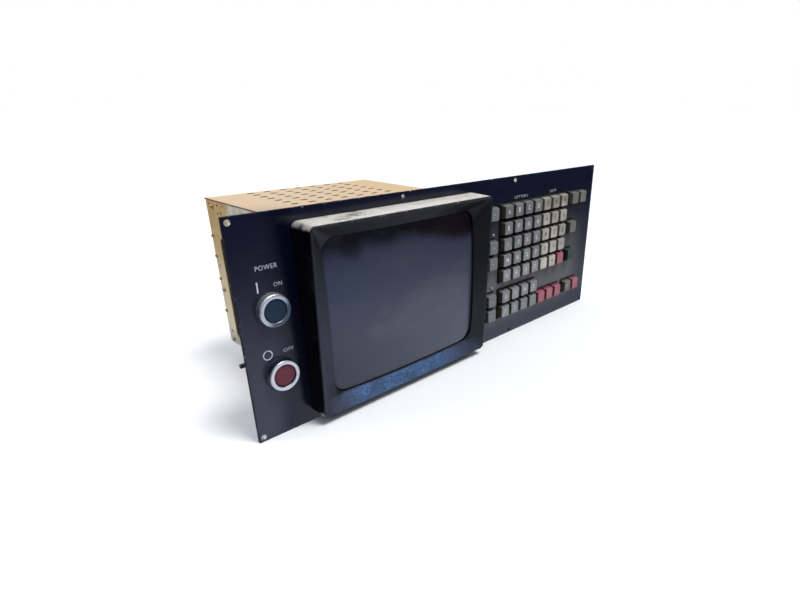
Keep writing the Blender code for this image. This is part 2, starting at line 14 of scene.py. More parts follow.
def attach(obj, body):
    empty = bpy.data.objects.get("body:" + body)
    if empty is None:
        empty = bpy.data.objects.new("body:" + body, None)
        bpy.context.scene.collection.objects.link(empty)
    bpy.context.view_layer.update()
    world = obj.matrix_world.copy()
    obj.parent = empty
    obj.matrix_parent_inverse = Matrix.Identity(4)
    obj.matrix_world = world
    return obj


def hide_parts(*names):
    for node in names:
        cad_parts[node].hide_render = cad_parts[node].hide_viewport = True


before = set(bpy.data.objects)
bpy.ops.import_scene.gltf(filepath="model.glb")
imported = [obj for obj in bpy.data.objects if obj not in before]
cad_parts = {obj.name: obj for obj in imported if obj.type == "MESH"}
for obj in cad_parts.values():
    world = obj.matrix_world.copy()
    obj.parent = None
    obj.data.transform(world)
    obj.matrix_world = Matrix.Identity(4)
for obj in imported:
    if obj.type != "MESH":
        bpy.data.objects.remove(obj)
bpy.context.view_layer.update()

MM = 0.001
SHIFT = Vector((0.0, -3.0, -4.4))  # from the drawing's datum to the frame's origin, mm

# ------------------------------------------------------------------ dimensions, mm
PLATE_W, PLATE_H, PLATE_T = 520.0, 195.0, 3.0
HOLE_R, HOLE_IN_X, HOLE_IN_Z, HOLE_MID_X = 2.25, 4.5, 4.4, 85.4
BEZEL_X, BEZEL_Z = (-205.8, 14.4), (6.8, 184.6)
RIM_TOP, RIM_BOTTOM = 27.9, 18.8
SCREEN_X, SCREEN_Z, SCREEN_R = (-187.0, -0.4), (22.6, 169.5), 13.0
SCREEN_CX, SCREEN_CZ = sum(SCREEN_X) / 2, sum(SCREEN_Z) / 2
TUBE_W, TUBE_H, TUBE_R = 190.0, 151.0, 19.5
FACE_Y, FACE_RADIUS = -15.0, 1100.0
NECK_R, NECK_END = 10.5, 160.0
X0, X1 = -197.0, 5.6  # chassis sides
Z0, Z1 = 22.4, 182.0
REAR, SHEET = 181.2, 1.2
VENT_MIDDLE, VENT_PITCH = -93.6, 19.3
KEY_COLUMNS = (41.95, 67.6, 86.65, 105.7, 124.75, 143.8, 162.85, 181.9, 207.6, 226.65)
KEY_ROWS = {1: 157.4, 2: 138.35, 3: 119.3, 4: 100.25, 5: 81.2, 6: 54.5, 7: 35.45}
KEY_FACE, KEY_BASE, KEY_HEIGHT, KEY_BACK = 6.85, 8.4, 7.7, 3.5
KEY_CLEAR = 9.8
BUTTON_X, ON_Z, OFF_Z = -231.1, 117.1, 58.2
LEDS = {"led_upper": (47.5, 132.5), "led_lower": (47.5, 68.3)}
POSTS = [(x, z) for x in (-150.0, -40.0) for z in (179.8, 11.6)]


def face_y(x, z):
    return FACE_Y + ((x - SCREEN_CX) ** 2 + (z - SCREEN_CZ) ** 2) / (2 * FACE_RADIUS)


def rim_y(z):
    share = (z - BEZEL_Z[0]) / (BEZEL_Z[1] - BEZEL_Z[0])
    return -(RIM_BOTTOM + (RIM_TOP - RIM_BOTTOM) * share)


# ------------------------------------------------------------------ camera
CAMERA_AT = Vector((-419.5447, -387.4374, 270.0256))
RIGHT = Vector((0.689736539, -0.72405097, 0.003701161))
DOWN = Vector((-0.294707267, -0.285402181, -0.911972161))
AHEAD = Vector((0.661370647, 0.627929763, -0.410235395))
lens_data = bpy.data.cameras.new("camera")
lens_data.sensor_width = 36.0
lens_data.lens = 23.7609
lens_data.shift_x, lens_data.shift_y = -0.071524, 0.052308
lens_data.clip_start, lens_data.clip_end = 0.01, 50.0
camera = bpy.data.objects.new("camera", lens_data)
camera.matrix_world = Matrix.Translation((CAMERA_AT + SHIFT) * MM) @ Matrix(
    (RIGHT, -DOWN, -AHEAD)
).transposed().to_4x4()
bpy.context.scene.collection.objects.link(camera)
bpy.context.scene.camera = camera


# ------------------------------------------------------------------ materials
class Finish:
    """A Principled material, with short ways to add nodes. Coordinates are the object's own, in mm
    from the drawing's datum, so that a pattern keeps its real scale and stays with a moving piece."""

    def __init__(self, name, roughness=0.5, metallic=0.0, **uniform):
        self.material = bpy.data.materials.new(name)
        self.material.use_nodes = True
        self.tree = self.material.node_tree
        self.shader = self.tree.nodes["Principled BSDF"]
        self.shader.inputs["Roughness"].default_value = roughness
        self.shader.inputs["Metallic"].default_value = metallic
        for key, value in uniform.items():
            self.shader.inputs[key.replace("_", " ")].default_value = value
        self._at = None
        self._parts = None
        self._normal = None

    def node(self, kind, **settings):
        made = self.tree.nodes.new(kind)
        for key, value in settings.items():
            setattr(made, key, value)
        return made

    def feed(self, socket, value):
        if isinstance(value, bpy.types.NodeSocket):
            self.tree.links.new(value, socket)
        elif isinstance(value, (tuple, list)) and len(value) == 3 and socket.type == "RGBA":
            socket.default_value = (*value, 1.0)
        else:
            socket.default_value = value

    def at(self):
        if self._at is None:
            coords = self.node("ShaderNodeTexCoord")
            scaled = self.node("ShaderNodeVectorMath", operation="MULTIPLY_ADD")
            self.feed(scaled.inputs[0], coords.outputs["Object"])
            scaled.inputs[1].default_value = (1000.0, 1000.0, 1000.0)
            scaled.inputs[2].default_value = tuple(-SHIFT)
            self._at = scaled.outputs[0]
        return self._at

    def xyz(self, axis):
        if self._parts is None:
            self._parts = self.node("ShaderNodeSeparateXYZ")
            self.feed(self._parts.inputs[0], self.at())
        return self._parts.outputs[axis]

    def facing(self, axis):
        if self._normal is None:
            geometry = self.node("ShaderNodeNewGeometry")
            self._normal = self.node("ShaderNodeSeparateXYZ")
            self.feed(self._normal.inputs[0], geometry.outputs["Normal"])
        return self._normal.outputs[axis]

    def noise(self, size, detail=3.0, roughness=0.55, stretch=(1, 1, 1), offset=(0, 0, 0), distortion=0.0):
        """Fractal noise whose largest features are about `size` mm."""
        place = self.node("ShaderNodeVectorMath", operation="MULTIPLY_ADD")
        self.feed(place.inputs[0], self.at())
        place.inputs[1].default_value = tuple(s / size for s in stretch)
        place.inputs[2].default_value = offset
        made = self.node("ShaderNodeTexNoise")
        self.feed(made.inputs["Vector"], place.outputs[0])
        made.inputs["Scale"].default_value = 1.0
        made.inputs["Detail"].default_value = detail
        made.inputs["Roughness"].default_value = roughness
        made.inputs["Distortion"].default_value = distortion
        return made.outputs["Fac"]

    def cells(self, size, feature="F1", offset=(0, 0, 0), stretch=(1, 1, 1)):
        place = self.node("ShaderNodeVectorMath", operation="MULTIPLY_ADD")
        self.feed(place.inputs[0], self.at())
        place.inputs[1].default_value = tuple(s / size for s in stretch)
        place.inputs[2].default_value = offset
        made = self.node("ShaderNodeTexVoronoi", feature=feature)
        self.feed(made.inputs["Vector"], place.outputs[0])
        made.inputs["Scale"].default_value = 1.0
        return made

    def span(self, value, low, high, to_low=0.0, to_high=1.0, kind="SMOOTHSTEP"):
        made = self.node("ShaderNodeMapRange", interpolation_type=kind)
        self.feed(made.inputs["Value"], value)
        made.inputs["From Min"].default_value = low
        made.inputs["From Max"].default_value = high
        made.inputs["To Min"].default_value = to_low
        made.inputs["To Max"].default_value = to_high
        return made.outputs["Result"]

    def calc(self, operation, a, b=0.0, clamp=False):
        made = self.node("ShaderNodeMath", operation=operation, use_clamp=clamp)
        self.feed(made.inputs[0], a)
        if operation not in ("ABSOLUTE", "SQRT"):
            self.feed(made.inputs[1], b)
        return made.outputs[0]

    def all_of(self, *values):
        result = values[0]
        for value in values[1:]:
            result = self.calc("MULTIPLY", result, value)
        return result

    def mix(self, share, a, b):
        made = self.node("ShaderNodeMix", data_type="RGBA")
        self.feed(made.inputs[0], share)
        self.feed(made.inputs[6], a)
        self.feed(made.inputs[7], b)
        return made.outputs[2]

    def base(self, value):
        self.feed(self.shader.inputs["Base Color"], value)

    def rough(self, value):
        self.feed(self.shader.inputs["Roughness"], value)

    def metal(self, value):
        self.feed(self.shader.inputs["Metallic"], value)

    def bump(self, height, mm, strength=1.0):
        made = self.node("ShaderNodeBump")
        made.inputs["Strength"].default_value = strength
        made.inputs["Distance"].default_value = mm * MM
        self.feed(made.inputs["Height"], height)
        self.feed(self.shader.inputs["Normal"], made.outputs["Normal"])


def navy_paint():
    f = Finish("navy_paint", Specular_IOR_Level=0.42)
    cloud = f.noise(90.0, 2.0)
    base = f.mix(cloud, (0.0034, 0.0040, 0.0165), (0.0052, 0.0060, 0.0205))
    # A grey film over the lower parts is partly dust and partly a painted reflection of the pale floor; on the left it
    # lies lower down, clear of the bezel.
    dust_and_sheen = f.span(f.noise(60.0, 3.0, 0.5), 0.25, 0.75, 0.8, 1.0)
    left = f.all_of(f.span(f.xyz(0), -200.0, -212.0), f.span(f.xyz(2), 165.0, 30.0))
    lean = f.span(f.xyz(2), 90.0, 10.0, 0.0, 9.0)
    near = f.span(f.calc("ADD", f.xyz(0), lean), -236.0, -213.0)
    left = f.all_of(left, f.calc("SUBTRACT", 1.0, f.calc("MULTIPLY", near, 0.9)))
    base = f.mix(f.all_of(left, dust_and_sheen, 0.80), base, (0.044, 0.044, 0.064))
    # Painted reflection with dust to the right of the bezel, stronger lower down, fading at the foot and towards the
    # right margin.
    right = f.all_of(f.span(f.xyz(0), 5.0, 40.0), f.span(f.xyz(2), 178.0, 60.0))
    foot = f.span(f.xyz(2), 8.0, 34.0, 0.06, 1.0)
    outer = f.span(f.xyz(0), 208.0, 252.0, 1.0, 0.32)
    base = f.mix(f.all_of(right, foot, outer, dust_and_sheen, 0.92), base, (0.118, 0.114, 0.112))
    # Painted shade: the strip beside the bezel's left side is painted near black, standing for the bezel's shadow and
    # its dark reflection in the plate.
    base = f.mix(f.all_of(near, f.span(f.xyz(0), -200.0, -206.0), 0.9), base, (0.0006, 0.0010, 0.0085))
    specks = f.span(f.noise(1.6, 2.0, 0.5), 0.72, 0.80)
    base = f.mix(f.calc("MULTIPLY", specks, 0.06), base, (0.16, 0.15, 0.14))
    scratches = f.span(f.noise(16.0, 2.0, 0.5, (1.0, 1.0, 14.0), (3, 1, 7), 0.6), 0.685, 0.70)
    base = f.mix(f.calc("MULTIPLY", scratches, 0.07), base, (0.14, 0.15, 0.18))
    # Chipped paint along the outer edges.
    side = f.calc("ABSOLUTE", f.xyz(0))
    edge = f.calc(
        "MAXIMUM",
        f.span(side, 258.9, 259.6),
        f.calc("MAXIMUM", f.span(f.xyz(2), 1.1, 0.4), f.span(f.xyz(2), 193.9, 194.6)),
    )
    chips = f.all_of(edge, f.span(f.noise(5.0, 4.0, 0.7, (1, 1, 1), (9, 2, 4)), 0.58, 0.64))
    base = f.mix(chips, base, (0.24, 0.23, 0.22))
    f.base(base)
    f.rough(f.span(f.noise(30.0, 3.0, 0.5), 0.2, 0.8, 0.18, 0.25, "LINEAR"))
    f.bump(f.noise(1.3, 2.0, 0.5), 0.003, 0.4)
    return f.material


def edge_paint():
    """The thin matt coat on the plate's cut edges, chipped here and there."""
    f = Finish("edge_paint", roughness=0.55, Specular_IOR_Level=0.12)
    base = f.mix(f.noise(12.0, 3.0), (0.0022, 0.0026, 0.0060), (0.0048, 0.0052, 0.0100))
    f.base(f.mix(f.calc("MULTIPLY", f.span(f.noise(5.0, 4.0, 0.7, (1, 1, 1), (9, 2, 4)), 0.60, 0.66), 0.7), base, (0.15, 0.145, 0.14)))
    f.rough(f.span(f.noise(6.0, 3.0), 0.2, 0.8, 0.48, 0.62, "LINEAR"))
    f.bump(f.noise(0.8, 2.0), 0.01, 0.5)
    return f.material


def bezel_plastic():
    f = Finish("bezel_plastic", Specular_IOR_Level=0.30)
    base = f.mix(f.noise(30.0, 4.0), (0.0048, 0.0046, 0.0062), (0.0078, 0.0075, 0.0096))
    front = f.span(f.facing(1), -0.15, -0.5)
    # Painted reflection: the front of the rail at the left is painted a pale bluish grey for the floor it reflects,
    # stronger towards its foot.
    left_rail_reflection = f.all_of(front, f.span(f.xyz(0), -183.0, -190.0), f.span(f.xyz(2), 182.0, 60.0, 0.25, 1.0))
    base = f.mix(f.calc("MULTIPLY", left_rail_reflection, 0.9), base, (0.0225, 0.0235, 0.0370))
    bare = f.all_of(front, f.span(f.xyz(0), -8.0, 2.0), f.span(f.xyz(2), 120.0, 40.0))
    base = f.mix(f.calc("MULTIPLY", bare, 0.8), base, (0.0210, 0.0230, 0.0310))
    warm = f.all_of(front, f.span(f.xyz(2), 160.0, 174.0), f.span(f.noise(24.0, 3.0, 0.6, (1, 1, 1), (5, 5, 2)), 0.4, 0.6))
    base = f.mix(f.calc("MULTIPLY", warm, 0.7), base, (0.0062, 0.0026, 0.0032))
    # Painted shade: the bezel's left side, facing away from the key light, is painted almost black.
    shaded_flank = f.all_of(f.span(f.facing(0), -0.55, -0.85), f.span(f.xyz(0), -198.0, -203.0))
    base = f.mix(shaded_flank, base, (0.0010, 0.0007, 0.0016))
    # Pale wear and dust on the shelf that faces up, ending just behind the front rim and rolling
    # over on to the left side.
    ragged = f.calc("MULTIPLY", f.calc("SUBTRACT", f.noise(5.0, 4.0, 0.6, (1, 1, 1), (3, 9, 4)), 0.5), 3.0)
    shelf = f.all_of(
        f.span(f.facing(2), -0.15, 0.45),
        f.span(f.calc("ADD", f.xyz(2), ragged), 179.2, 182.0),
        f.span(f.calc("ADD", f.xyz(1), f.calc("MULTIPLY", ragged, 0.35)), -27.0, -25.9),
    )
    patch = f.noise(26.0, 5.0, 0.62, (1, 1.6, 1), (2, 5, 1))
    dust = f.mix(f.span(patch, 0.35, 0.65), (0.455, 0.428, 0.374), (0.575, 0.540, 0.482))
    smear = f.all_of(
        f.span(f.noise(11.0, 4.0, 0.7, (1, 1.4, 1), (7, 3, 2)), 0.52, 0.60),
        f.span(f.xyz(0), -184.0, -172.0),
        f.span(f.xyz(0), -128.0, -146.0),
    )
    grime = f.all_of(f.span(f.noise(6.0, 4.0, 0.65, (1, 1, 1), (1, 8, 3)), 0.60, 0.70), 0.5)
    dust = f.mix(f.calc("MAXIMUM", f.calc("MULTIPLY", smear, 0.75), grime), dust, (0.12, 0.115, 0.10))
    # A dent at the left end, rubbed to the dark plastic.
    near = f.node("ShaderNodeVectorMath", operation="DISTANCE")
    f.feed(near.inputs[0], f.at())
    near.inputs[1].default_value = (-205.0, -13.0, 182.5)
    rubbed = f.span(f.calc("ADD", near.outputs["Value"], f.calc("MULTIPLY", f.noise(4.0, 3.0), 4.0)), 7.5, 3.4)
    dust = f.mix(f.calc("MULTIPLY", rubbed, 0.85), dust, (0.060, 0.058, 0.050))
    end = f.span(f.calc("ADD", f.xyz(0), ragged), -206.5, -196.0, 0.35, 0.96)
    base = f.mix(f.calc("MULTIPLY", shelf, end), base, dust)
    # Chips along the upper front edge.
    brow = f.all_of(
        f.span(f.xyz(2), 181.8, 182.8),
        f.span(f.facing(1), 0.2, -0.2),
        f.span(f.noise(3.2, 3.0, 0.7, (1, 1, 1), (4, 4, 4)), 0.60, 0.66),
    )
    base = f.mix(f.calc("MULTIPLY", brow, 0.8), base, (0.20, 0.165, 0.15))
    # A bluish film with scuffs and a painted sheen of light on the lower rail, which tilts up; both are thickest in its
    # middle.
    wander = f.calc("MULTIPLY", f.calc("SUBTRACT", f.noise(20.0, 4.0, 0.6, (1, 1, 1), (6, 2, 9)), 0.5), 24.0)
    along = f.calc("ADD", f.xyz(0), wander)
    rail_film_and_sheen = f.all_of(
        f.span(f.xyz(2), 23.6, 20.4),
        front,
        f.span(along, -212.0, -172.0),
        f.span(along, 8.0, -36.0, 0.20, 1.0),
        f.span(f.calc("ADD", f.xyz(2), f.calc("MULTIPLY", wander, 0.10)), 6.0, 9.0),
    )
    core = f.all_of(
        f.span(along, -186.0, -156.0),
        f.span(along, -20.0, -74.0, 0.10, 1.0),
        f.span(f.noise(13.0, 3.0, 0.6, (0.7, 1, 1.3), (8, 4, 1)), 0.36, 0.58, 0.35, 1.0),
    )
    base = f.mix(f.calc("MULTIPLY", rail_film_and_sheen, 0.85), base, (0.042, 0.058, 0.102))
    base = f.mix(f.all_of(rail_film_and_sheen, core, 0.80), base, (0.038, 0.096, 0.225))
    speckle = f.noise(1.7, 4.0, 0.75, (0.8, 1, 1.1), (5, 1, 2))
    base = f.mix(f.all_of(rail_film_and_sheen, core, f.span(speckle, 0.50, 0.66), 0.8), base, (0.140, 0.245, 0.430))
    base = f.mix(f.all_of(rail_film_and_sheen, f.span(speckle, 0.47, 0.36), 0.55), base, (0.012, 0.022, 0.048))
    f.base(base)
    rough = f.span(f.noise(14.0, 4.0, 0.6), 0.2, 0.8, 0.42, 0.60, "LINEAR")
    rough = f.calc("SUBTRACT", rough, f.calc("MULTIPLY", shaded_flank, 0.22))
    f.rough(f.calc("ADD", rough, f.calc("MULTIPLY", shelf, 0.3), True))
    f.bump(f.noise(0.55, 2.0, 0.6), 0.035, 0.7)
    return f.material


def tube_glass():
    f = Finish("tube_glass", roughness=0.08, Specular_IOR_Level=0.5)
    behind = f.span(f.xyz(1), -9.0, -4.0)
    # Painted light across the face: lighter upwards from the foot, painted dark along the foot where the lower lip
    # shades it, and mottled with paler painted reflections.
    face_and_painted_light = f.mix(f.span(f.xyz(2), 30.0, 120.0), (0.0215, 0.0250, 0.0430), (0.0370, 0.0420, 0.0690))
    face_and_painted_light = f.mix(f.span(f.xyz(2), 29.0, 22.5, 0.0, 0.60), face_and_painted_light, (0.0060, 0.0065, 0.0110))
    face_and_painted_light = f.mix(f.calc("MULTIPLY", f.span(f.noise(60.0, 3.0, 0.5, (1, 1, 1), (2, 2, 0)), 0.35, 0.7), 0.35), face_and_painted_light, (0.0330, 0.0360, 0.0520))
    # Painted reflection: a broad pale patch lies across the middle.
    off_x = f.calc("MULTIPLY", f.calc("ADD", f.xyz(0), 42.0), 0.012)
    off_z = f.calc("MULTIPLY", f.calc("SUBTRACT", f.xyz(2), 84.0), 0.026)
    reach = f.calc("SQRT", f.calc("ADD", f.calc("MULTIPLY", off_x, off_x), f.calc("MULTIPLY", off_z, off_z)))
    reach = f.calc("ADD", reach, f.calc("MULTIPLY", f.calc("SUBTRACT", f.noise(48.0, 3.0, 0.5, (1, 1, 1), (7, 2, 5)), 0.5), 0.9))
    face_and_painted_light = f.mix(f.span(reach, 1.15, 0.2, 0.0, 0.55), face_and_painted_light, (0.0530, 0.0560, 0.0760))
    # Cloudy painted reflections, bluish at the upper left and warm lower down.
    cloud = f.span(f.noise(34.0, 3.0, 0.45, (0.8, 1, 1.4), (9, 2, 3)), 0.46, 0.68)
    face_and_painted_light = f.mix(f.all_of(cloud, f.span(f.xyz(2), 150.0, 120.0), f.span(f.xyz(2), 34.0, 80.0), 0.36), face_and_painted_light, (0.0660, 0.0680, 0.0860))
    warm = f.all_of(f.span(f.noise(32.0, 3.0, 0.5, (1, 1, 1), (1, 6, 8)), 0.46, 0.62), f.span(f.xyz(2), 90.0, 50.0))
    face_and_painted_light = f.mix(f.calc("MULTIPLY", warm, 0.40), face_and_painted_light, (0.0330, 0.0300, 0.0420))
    cool = f.all_of(f.span(f.xyz(0), -120.0, -165.0), f.span(f.xyz(2), 80.0, 120.0))
    face_and_painted_light = f.mix(f.calc("MULTIPLY", cool, 0.35), face_and_painted_light, (0.0300, 0.0420, 0.0820))
    # Painted shadow: the top lip's shadow and dark reflection lie along the upper edge, deepening towards the right,
    # where they turn maroon.
    sway = f.calc("MULTIPLY", f.calc("SUBTRACT", f.noise(46.0, 2.0, 0.45, (1, 1, 0.6), (4, 7, 1)), 0.5), 14.0)
    line = f.span(f.xyz(0), -100.0, -8.0, 156.5, 143.5, "LINEAR")
    depth = f.calc("ADD", f.calc("SUBTRACT", f.xyz(2), line), sway)
    darkening = f.span(depth, -8.0, 8.0)
    lip_shadow_tint = f.mix(f.span(f.xyz(0), -110.0, -60.0), (0.0066, 0.0062, 0.0110), (0.0076, 0.0024, 0.0042))
    thin = f.span(f.noise(20.0, 4.0, 0.6, (0.7, 1, 1.6), (3, 8, 5)), 0.50, 0.66)
    lip_shadow_tint = f.mix(f.all_of(thin, f.span(f.xyz(0), -60.0, -110.0, 0.35, 1.0), 0.45), lip_shadow_tint, (0.0300, 0.0260, 0.0330))
    face_and_painted_light = f.mix(f.calc("MULTIPLY", darkening, 0.93), face_and_painted_light, lip_shadow_tint)
    # A dark patch at the upper left corner.
    spot = f.node("ShaderNodeVectorMath", operation="DISTANCE")
    f.feed(spot.inputs[0], f.at())
    spot.inputs[1].default_value = (-157.0, -13.0, 158.0)
    ring = f.calc("ADD", spot.outputs["Value"], f.calc("MULTIPLY", f.calc("SUBTRACT", f.noise(12.0, 3.0, 0.6), 0.5), 14.0))
    face_and_painted_light = f.mix(f.span(ring, 17.0, 6.0, 0.0, 0.7), face_and_painted_light, (0.0100, 0.0085, 0.0110))
    soot = f.mix(f.noise(18.0, 4.0), (0.018, 0.018, 0.020), (0.040, 0.040, 0.043))
    f.base(f.mix(behind, face_and_painted_light, soot))
    f.rough(f.calc("ADD", f.span(f.noise(34.0, 5.0, 0.6, (1, 1, 1), (4, 0, 2)), 0.35, 0.75, 0.10, 0.22, "LINEAR"), f.calc("MULTIPLY", behind, 0.45)))
    return f.material


def passivated(name="chromate_steel"):
    """Yellow passivated sheet steel, with the drifting tint of the bath and rolling marks."""
    f = Finish(name, metallic=0.72)
    hue = f.noise(55.0, 4.0, 0.55, (1, 1, 1), (2, 3, 4))
    base = f.mix(f.span(hue, 0.30, 0.70), (0.64, 0.400, 0.140), (0.70, 0.51, 0.25))
    base = f.mix(f.calc("MULTIPLY", f.span(f.noise(24.0, 3.0, 0.5, (1, 1, 1), (8, 1, 6)), 0.52, 0.70), 0.45), base, (0.42, 0.43, 0.26))
    base = f.mix(f.calc("MULTIPLY", f.span(f.noise(30.0, 3.0, 0.5, (1, 1, 1), (1, 9, 2)), 0.55, 0.72), 0.35), base, (0.60, 0.38, 0.30))
    darkening = f.span(f.noise(7.0, 5.0, 0.7, (1, 1, 1), (6, 6, 1)), 0.60, 0.72)
    base = f.mix(f.calc("MULTIPLY", darkening, 0.40), base, (0.20, 0.15, 0.09))
    f.base(base)
    f.metal(f.calc("SUBTRACT", 0.78, f.calc("MULTIPLY", darkening, 0.4)))
    f.rough(f.span(f.noise(4.0, 4.0, 0.6, (0.2, 0.2, 3.0)), 0.2, 0.8, 0.36, 0.56, "LINEAR"))
    f.bump(f.noise(2.0, 3.0, 0.6, (0.15, 0.15, 3.0)), 0.01, 0.5)
    return f


def chromate_steel():
    f = passivated()
    return f.material


def left_side_steel():
    """The left plate's own sheet: a pale bare patch near the front's top, greenish at its foot."""
    f = passivated("chromate_steel_left")
    base = f.shader.inputs["Base Color"].links[0].from_socket
    # Paler and greener towards the foot.
    base = f.mix(f.span(f.xyz(2), 150.0, 95.0, 0.0, 0.72), base, (0.860, 0.775, 0.540))
    wobble = f.calc("MULTIPLY", f.calc("SUBTRACT", f.noise(7.0, 4.0, 0.6), 0.5), 9.0)
    back = f.calc("ADD", f.calc("ADD", f.xyz(1), wobble), f.calc("MULTIPLY", f.calc("SUBTRACT", f.xyz(2), 168.0), 0.4))
    patch = f.all_of(
        f.span(back, 137.5, 133.5),
        f.span(back, 84.0, 96.0),
        f.span(f.calc("ADD", f.xyz(2), f.calc("MULTIPLY", wobble, 0.3)), 148.0, 154.0),
    )
    faded = f.mix(f.span(f.noise(8.0, 4.0, 0.6, (1, 1, 1), (2, 7, 4)), 0.40, 0.62), (0.66, 0.63, 0.50), (0.84, 0.83, 0.72))
    base = f.mix(f.calc("MULTIPLY", patch, 0.88), base, faded)
    foot = f.span(f.xyz(2), 46.0, 26.0)
    base = f.mix(f.calc("MULTIPLY", foot, 0.70), base, (0.29, 0.30, 0.23))
    f.base(base)
    return f.material


def cover_cream():
    f = Finish("cover_cream", Specular_IOR_Level=0.4)
    base = f.mix(f.noise(80.0, 3.0), (0.534, 0.390, 0.242), (0.581, 0.434, 0.288))
    base = f.mix(f.calc("MULTIPLY", f.span(f.noise(9.0, 5.0, 0.65), 0.56, 0.72), 0.30), base, (0.42, 0.33, 0.24))
    ragged = f.calc("MULTIPLY", f.noise(5.0, 3.0, 0.6), 3.0)
    worn = f.calc("MAXIMUM", f.span(f.calc("ADD", f.xyz(1), ragged), 174.5, 178.5), f.span(f.xyz(0), 2.5, 5.5))
    base = f.mix(f.calc("MULTIPLY", worn, 0.80), base, (0.62, 0.43, 0.19))
    # A soiled patch at the front left.
    soiled = f.all_of(f.span(f.calc("ADD", f.xyz(0), f.calc("MULTIPLY", ragged, 4.0)), -142.0, -182.0), f.span(f.xyz(1), 120.0, 60.0))
    base = f.mix(f.calc("MULTIPLY", soiled, 0.55), base, (0.30, 0.26, 0.18))
    base = f.mix(f.span(f.xyz(0), -90.0, 0.0, 0.0, 0.55), base, (0.55, 0.395, 0.185))
    # Painted shadow: a dark line along the left edge, wider at its rear corner, stands for the shade in the gap above
    # the side plate.
    shadow_gap = f.calc("MAXIMUM", f.span(f.xyz(0), -196.6, -197.3), f.all_of(f.span(f.xyz(0), -193.5, -196.5), f.span(f.xyz(1), 174.0, 178.5)))
    base = f.mix(f.calc("MULTIPLY", shadow_gap, 0.92), base, (0.055, 0.034, 0.018))
    f.base(base)
    f.rough(f.span(f.noise(6.0, 3.0), 0.2, 0.8, 0.44, 0.60, "LINEAR"))
    f.bump(f.noise(0.9, 2.0), 0.02, 0.5)
    return f.material


def slot_edges():
    f = Finish("slot_edges", roughness=0.7)
    f.base(f.mix(f.noise(4.0, 3.0), (0.060, 0.036, 0.020), (0.110, 0.070, 0.040)))
    return f.material


def moulded(name, dark, light, roughness=0.5, grain=0.8, size=12.0, coat=0.0):
    f = Finish(name, roughness=roughness, Coat_Weight=coat)
    f.base(f.mix(f.noise(size, 4.0, 0.6), dark, light))
    f.rough(f.span(f.noise(size * 0.6, 4.0, 0.6), 0.2, 0.8, roughness - 0.07, roughness + 0.09, "LINEAR"))
    f.bump(f.noise(grain, 2.0, 0.6), 0.02, 0.5)
    return f.material


def steel(name, colour=(0.56, 0.56, 0.57), roughness=0.34, dirt=0.35):
    f = Finish(name, metallic=1.0)
    grime = f.span(f.noise(5.0, 5.0, 0.65), 0.52, 0.72)
    f.base(f.mix(f.calc("MULTIPLY", grime, dirt), colour, (0.20, 0.18, 0.15)))
    f.rough(f.span(f.noise(2.2, 4.0, 0.6, (1, 1, 5)), 0.2, 0.8, roughness - 0.08, roughness + 0.14, "LINEAR"))
    f.bump(f.noise(0.7, 2.0, 0.6, (1, 1, 6)), 0.006, 0.5)
    return f.material


def chrome():
    f = Finish("chrome", metallic=1.0)
    film = f.span(f.noise(1.9, 5.0, 0.75), 0.46, 0.66)
    upper = f.span(f.xyz(2), 85.0, 95.0)
    bright = f.mix(upper, (0.97, 0.91, 0.90), (0.96, 0.97, 1.0))
    base = f.mix(f.calc("MULTIPLY", film, 0.34), bright, (0.54, 0.56, 0.62))
    # The upper collar is darker and bluish at its lower right, and the lower one's wall is dark and bluish on top.
    lower_right_patch = f.span(f.calc("SUBTRACT", f.xyz(0), f.xyz(2)), -350.0, -338.0)
    base = f.mix(f.all_of(lower_right_patch, f.span(f.xyz(2), 95.0, 100.0), 0.92), base, (0.080, 0.112, 0.165))
    # Painted shade and reflection: the collars' side walls are painted a darker grey than the chrome, lighter on the
    # upper collar, where more light falls.
    wall = f.span(f.facing(1), -0.80, -0.45)
    base = f.mix(f.calc("MULTIPLY", wall, 0.85), base, f.mix(upper, (0.40, 0.41, 0.46), (0.58, 0.59, 0.63)))
    wall_top_patch = f.all_of(wall, f.span(f.xyz(2), 90.0, 85.0), f.span(f.facing(2), 0.05, 0.65))
    base = f.mix(f.calc("MULTIPLY", wall_top_patch, 0.95), base, (0.030, 0.045, 0.085))
    f.base(base)
    f.rough(f.calc("ADD", f.span(f.noise(1.3, 4.0, 0.65), 0.25, 0.8, 0.24, 0.46, "LINEAR"), f.calc("MULTIPLY", wall, 0.10), True))
    f.bump(f.noise(1.0, 3.0, 0.6), 0.008, 0.6)
    return f.material


def cap_colour(name, deep, light):
    f = Finish(name, Specular_IOR_Level=0.25)
    f.base(f.mix(f.noise(7.0, 4.0, 0.6), deep, light))
    f.rough(f.span(f.noise(4.0, 4.0, 0.6), 0.2, 0.8, 0.40, 0.55, "LINEAR"))
    f.bump(f.noise(0.9, 2.0, 0.5), 0.010, 0.5)
    return f.material


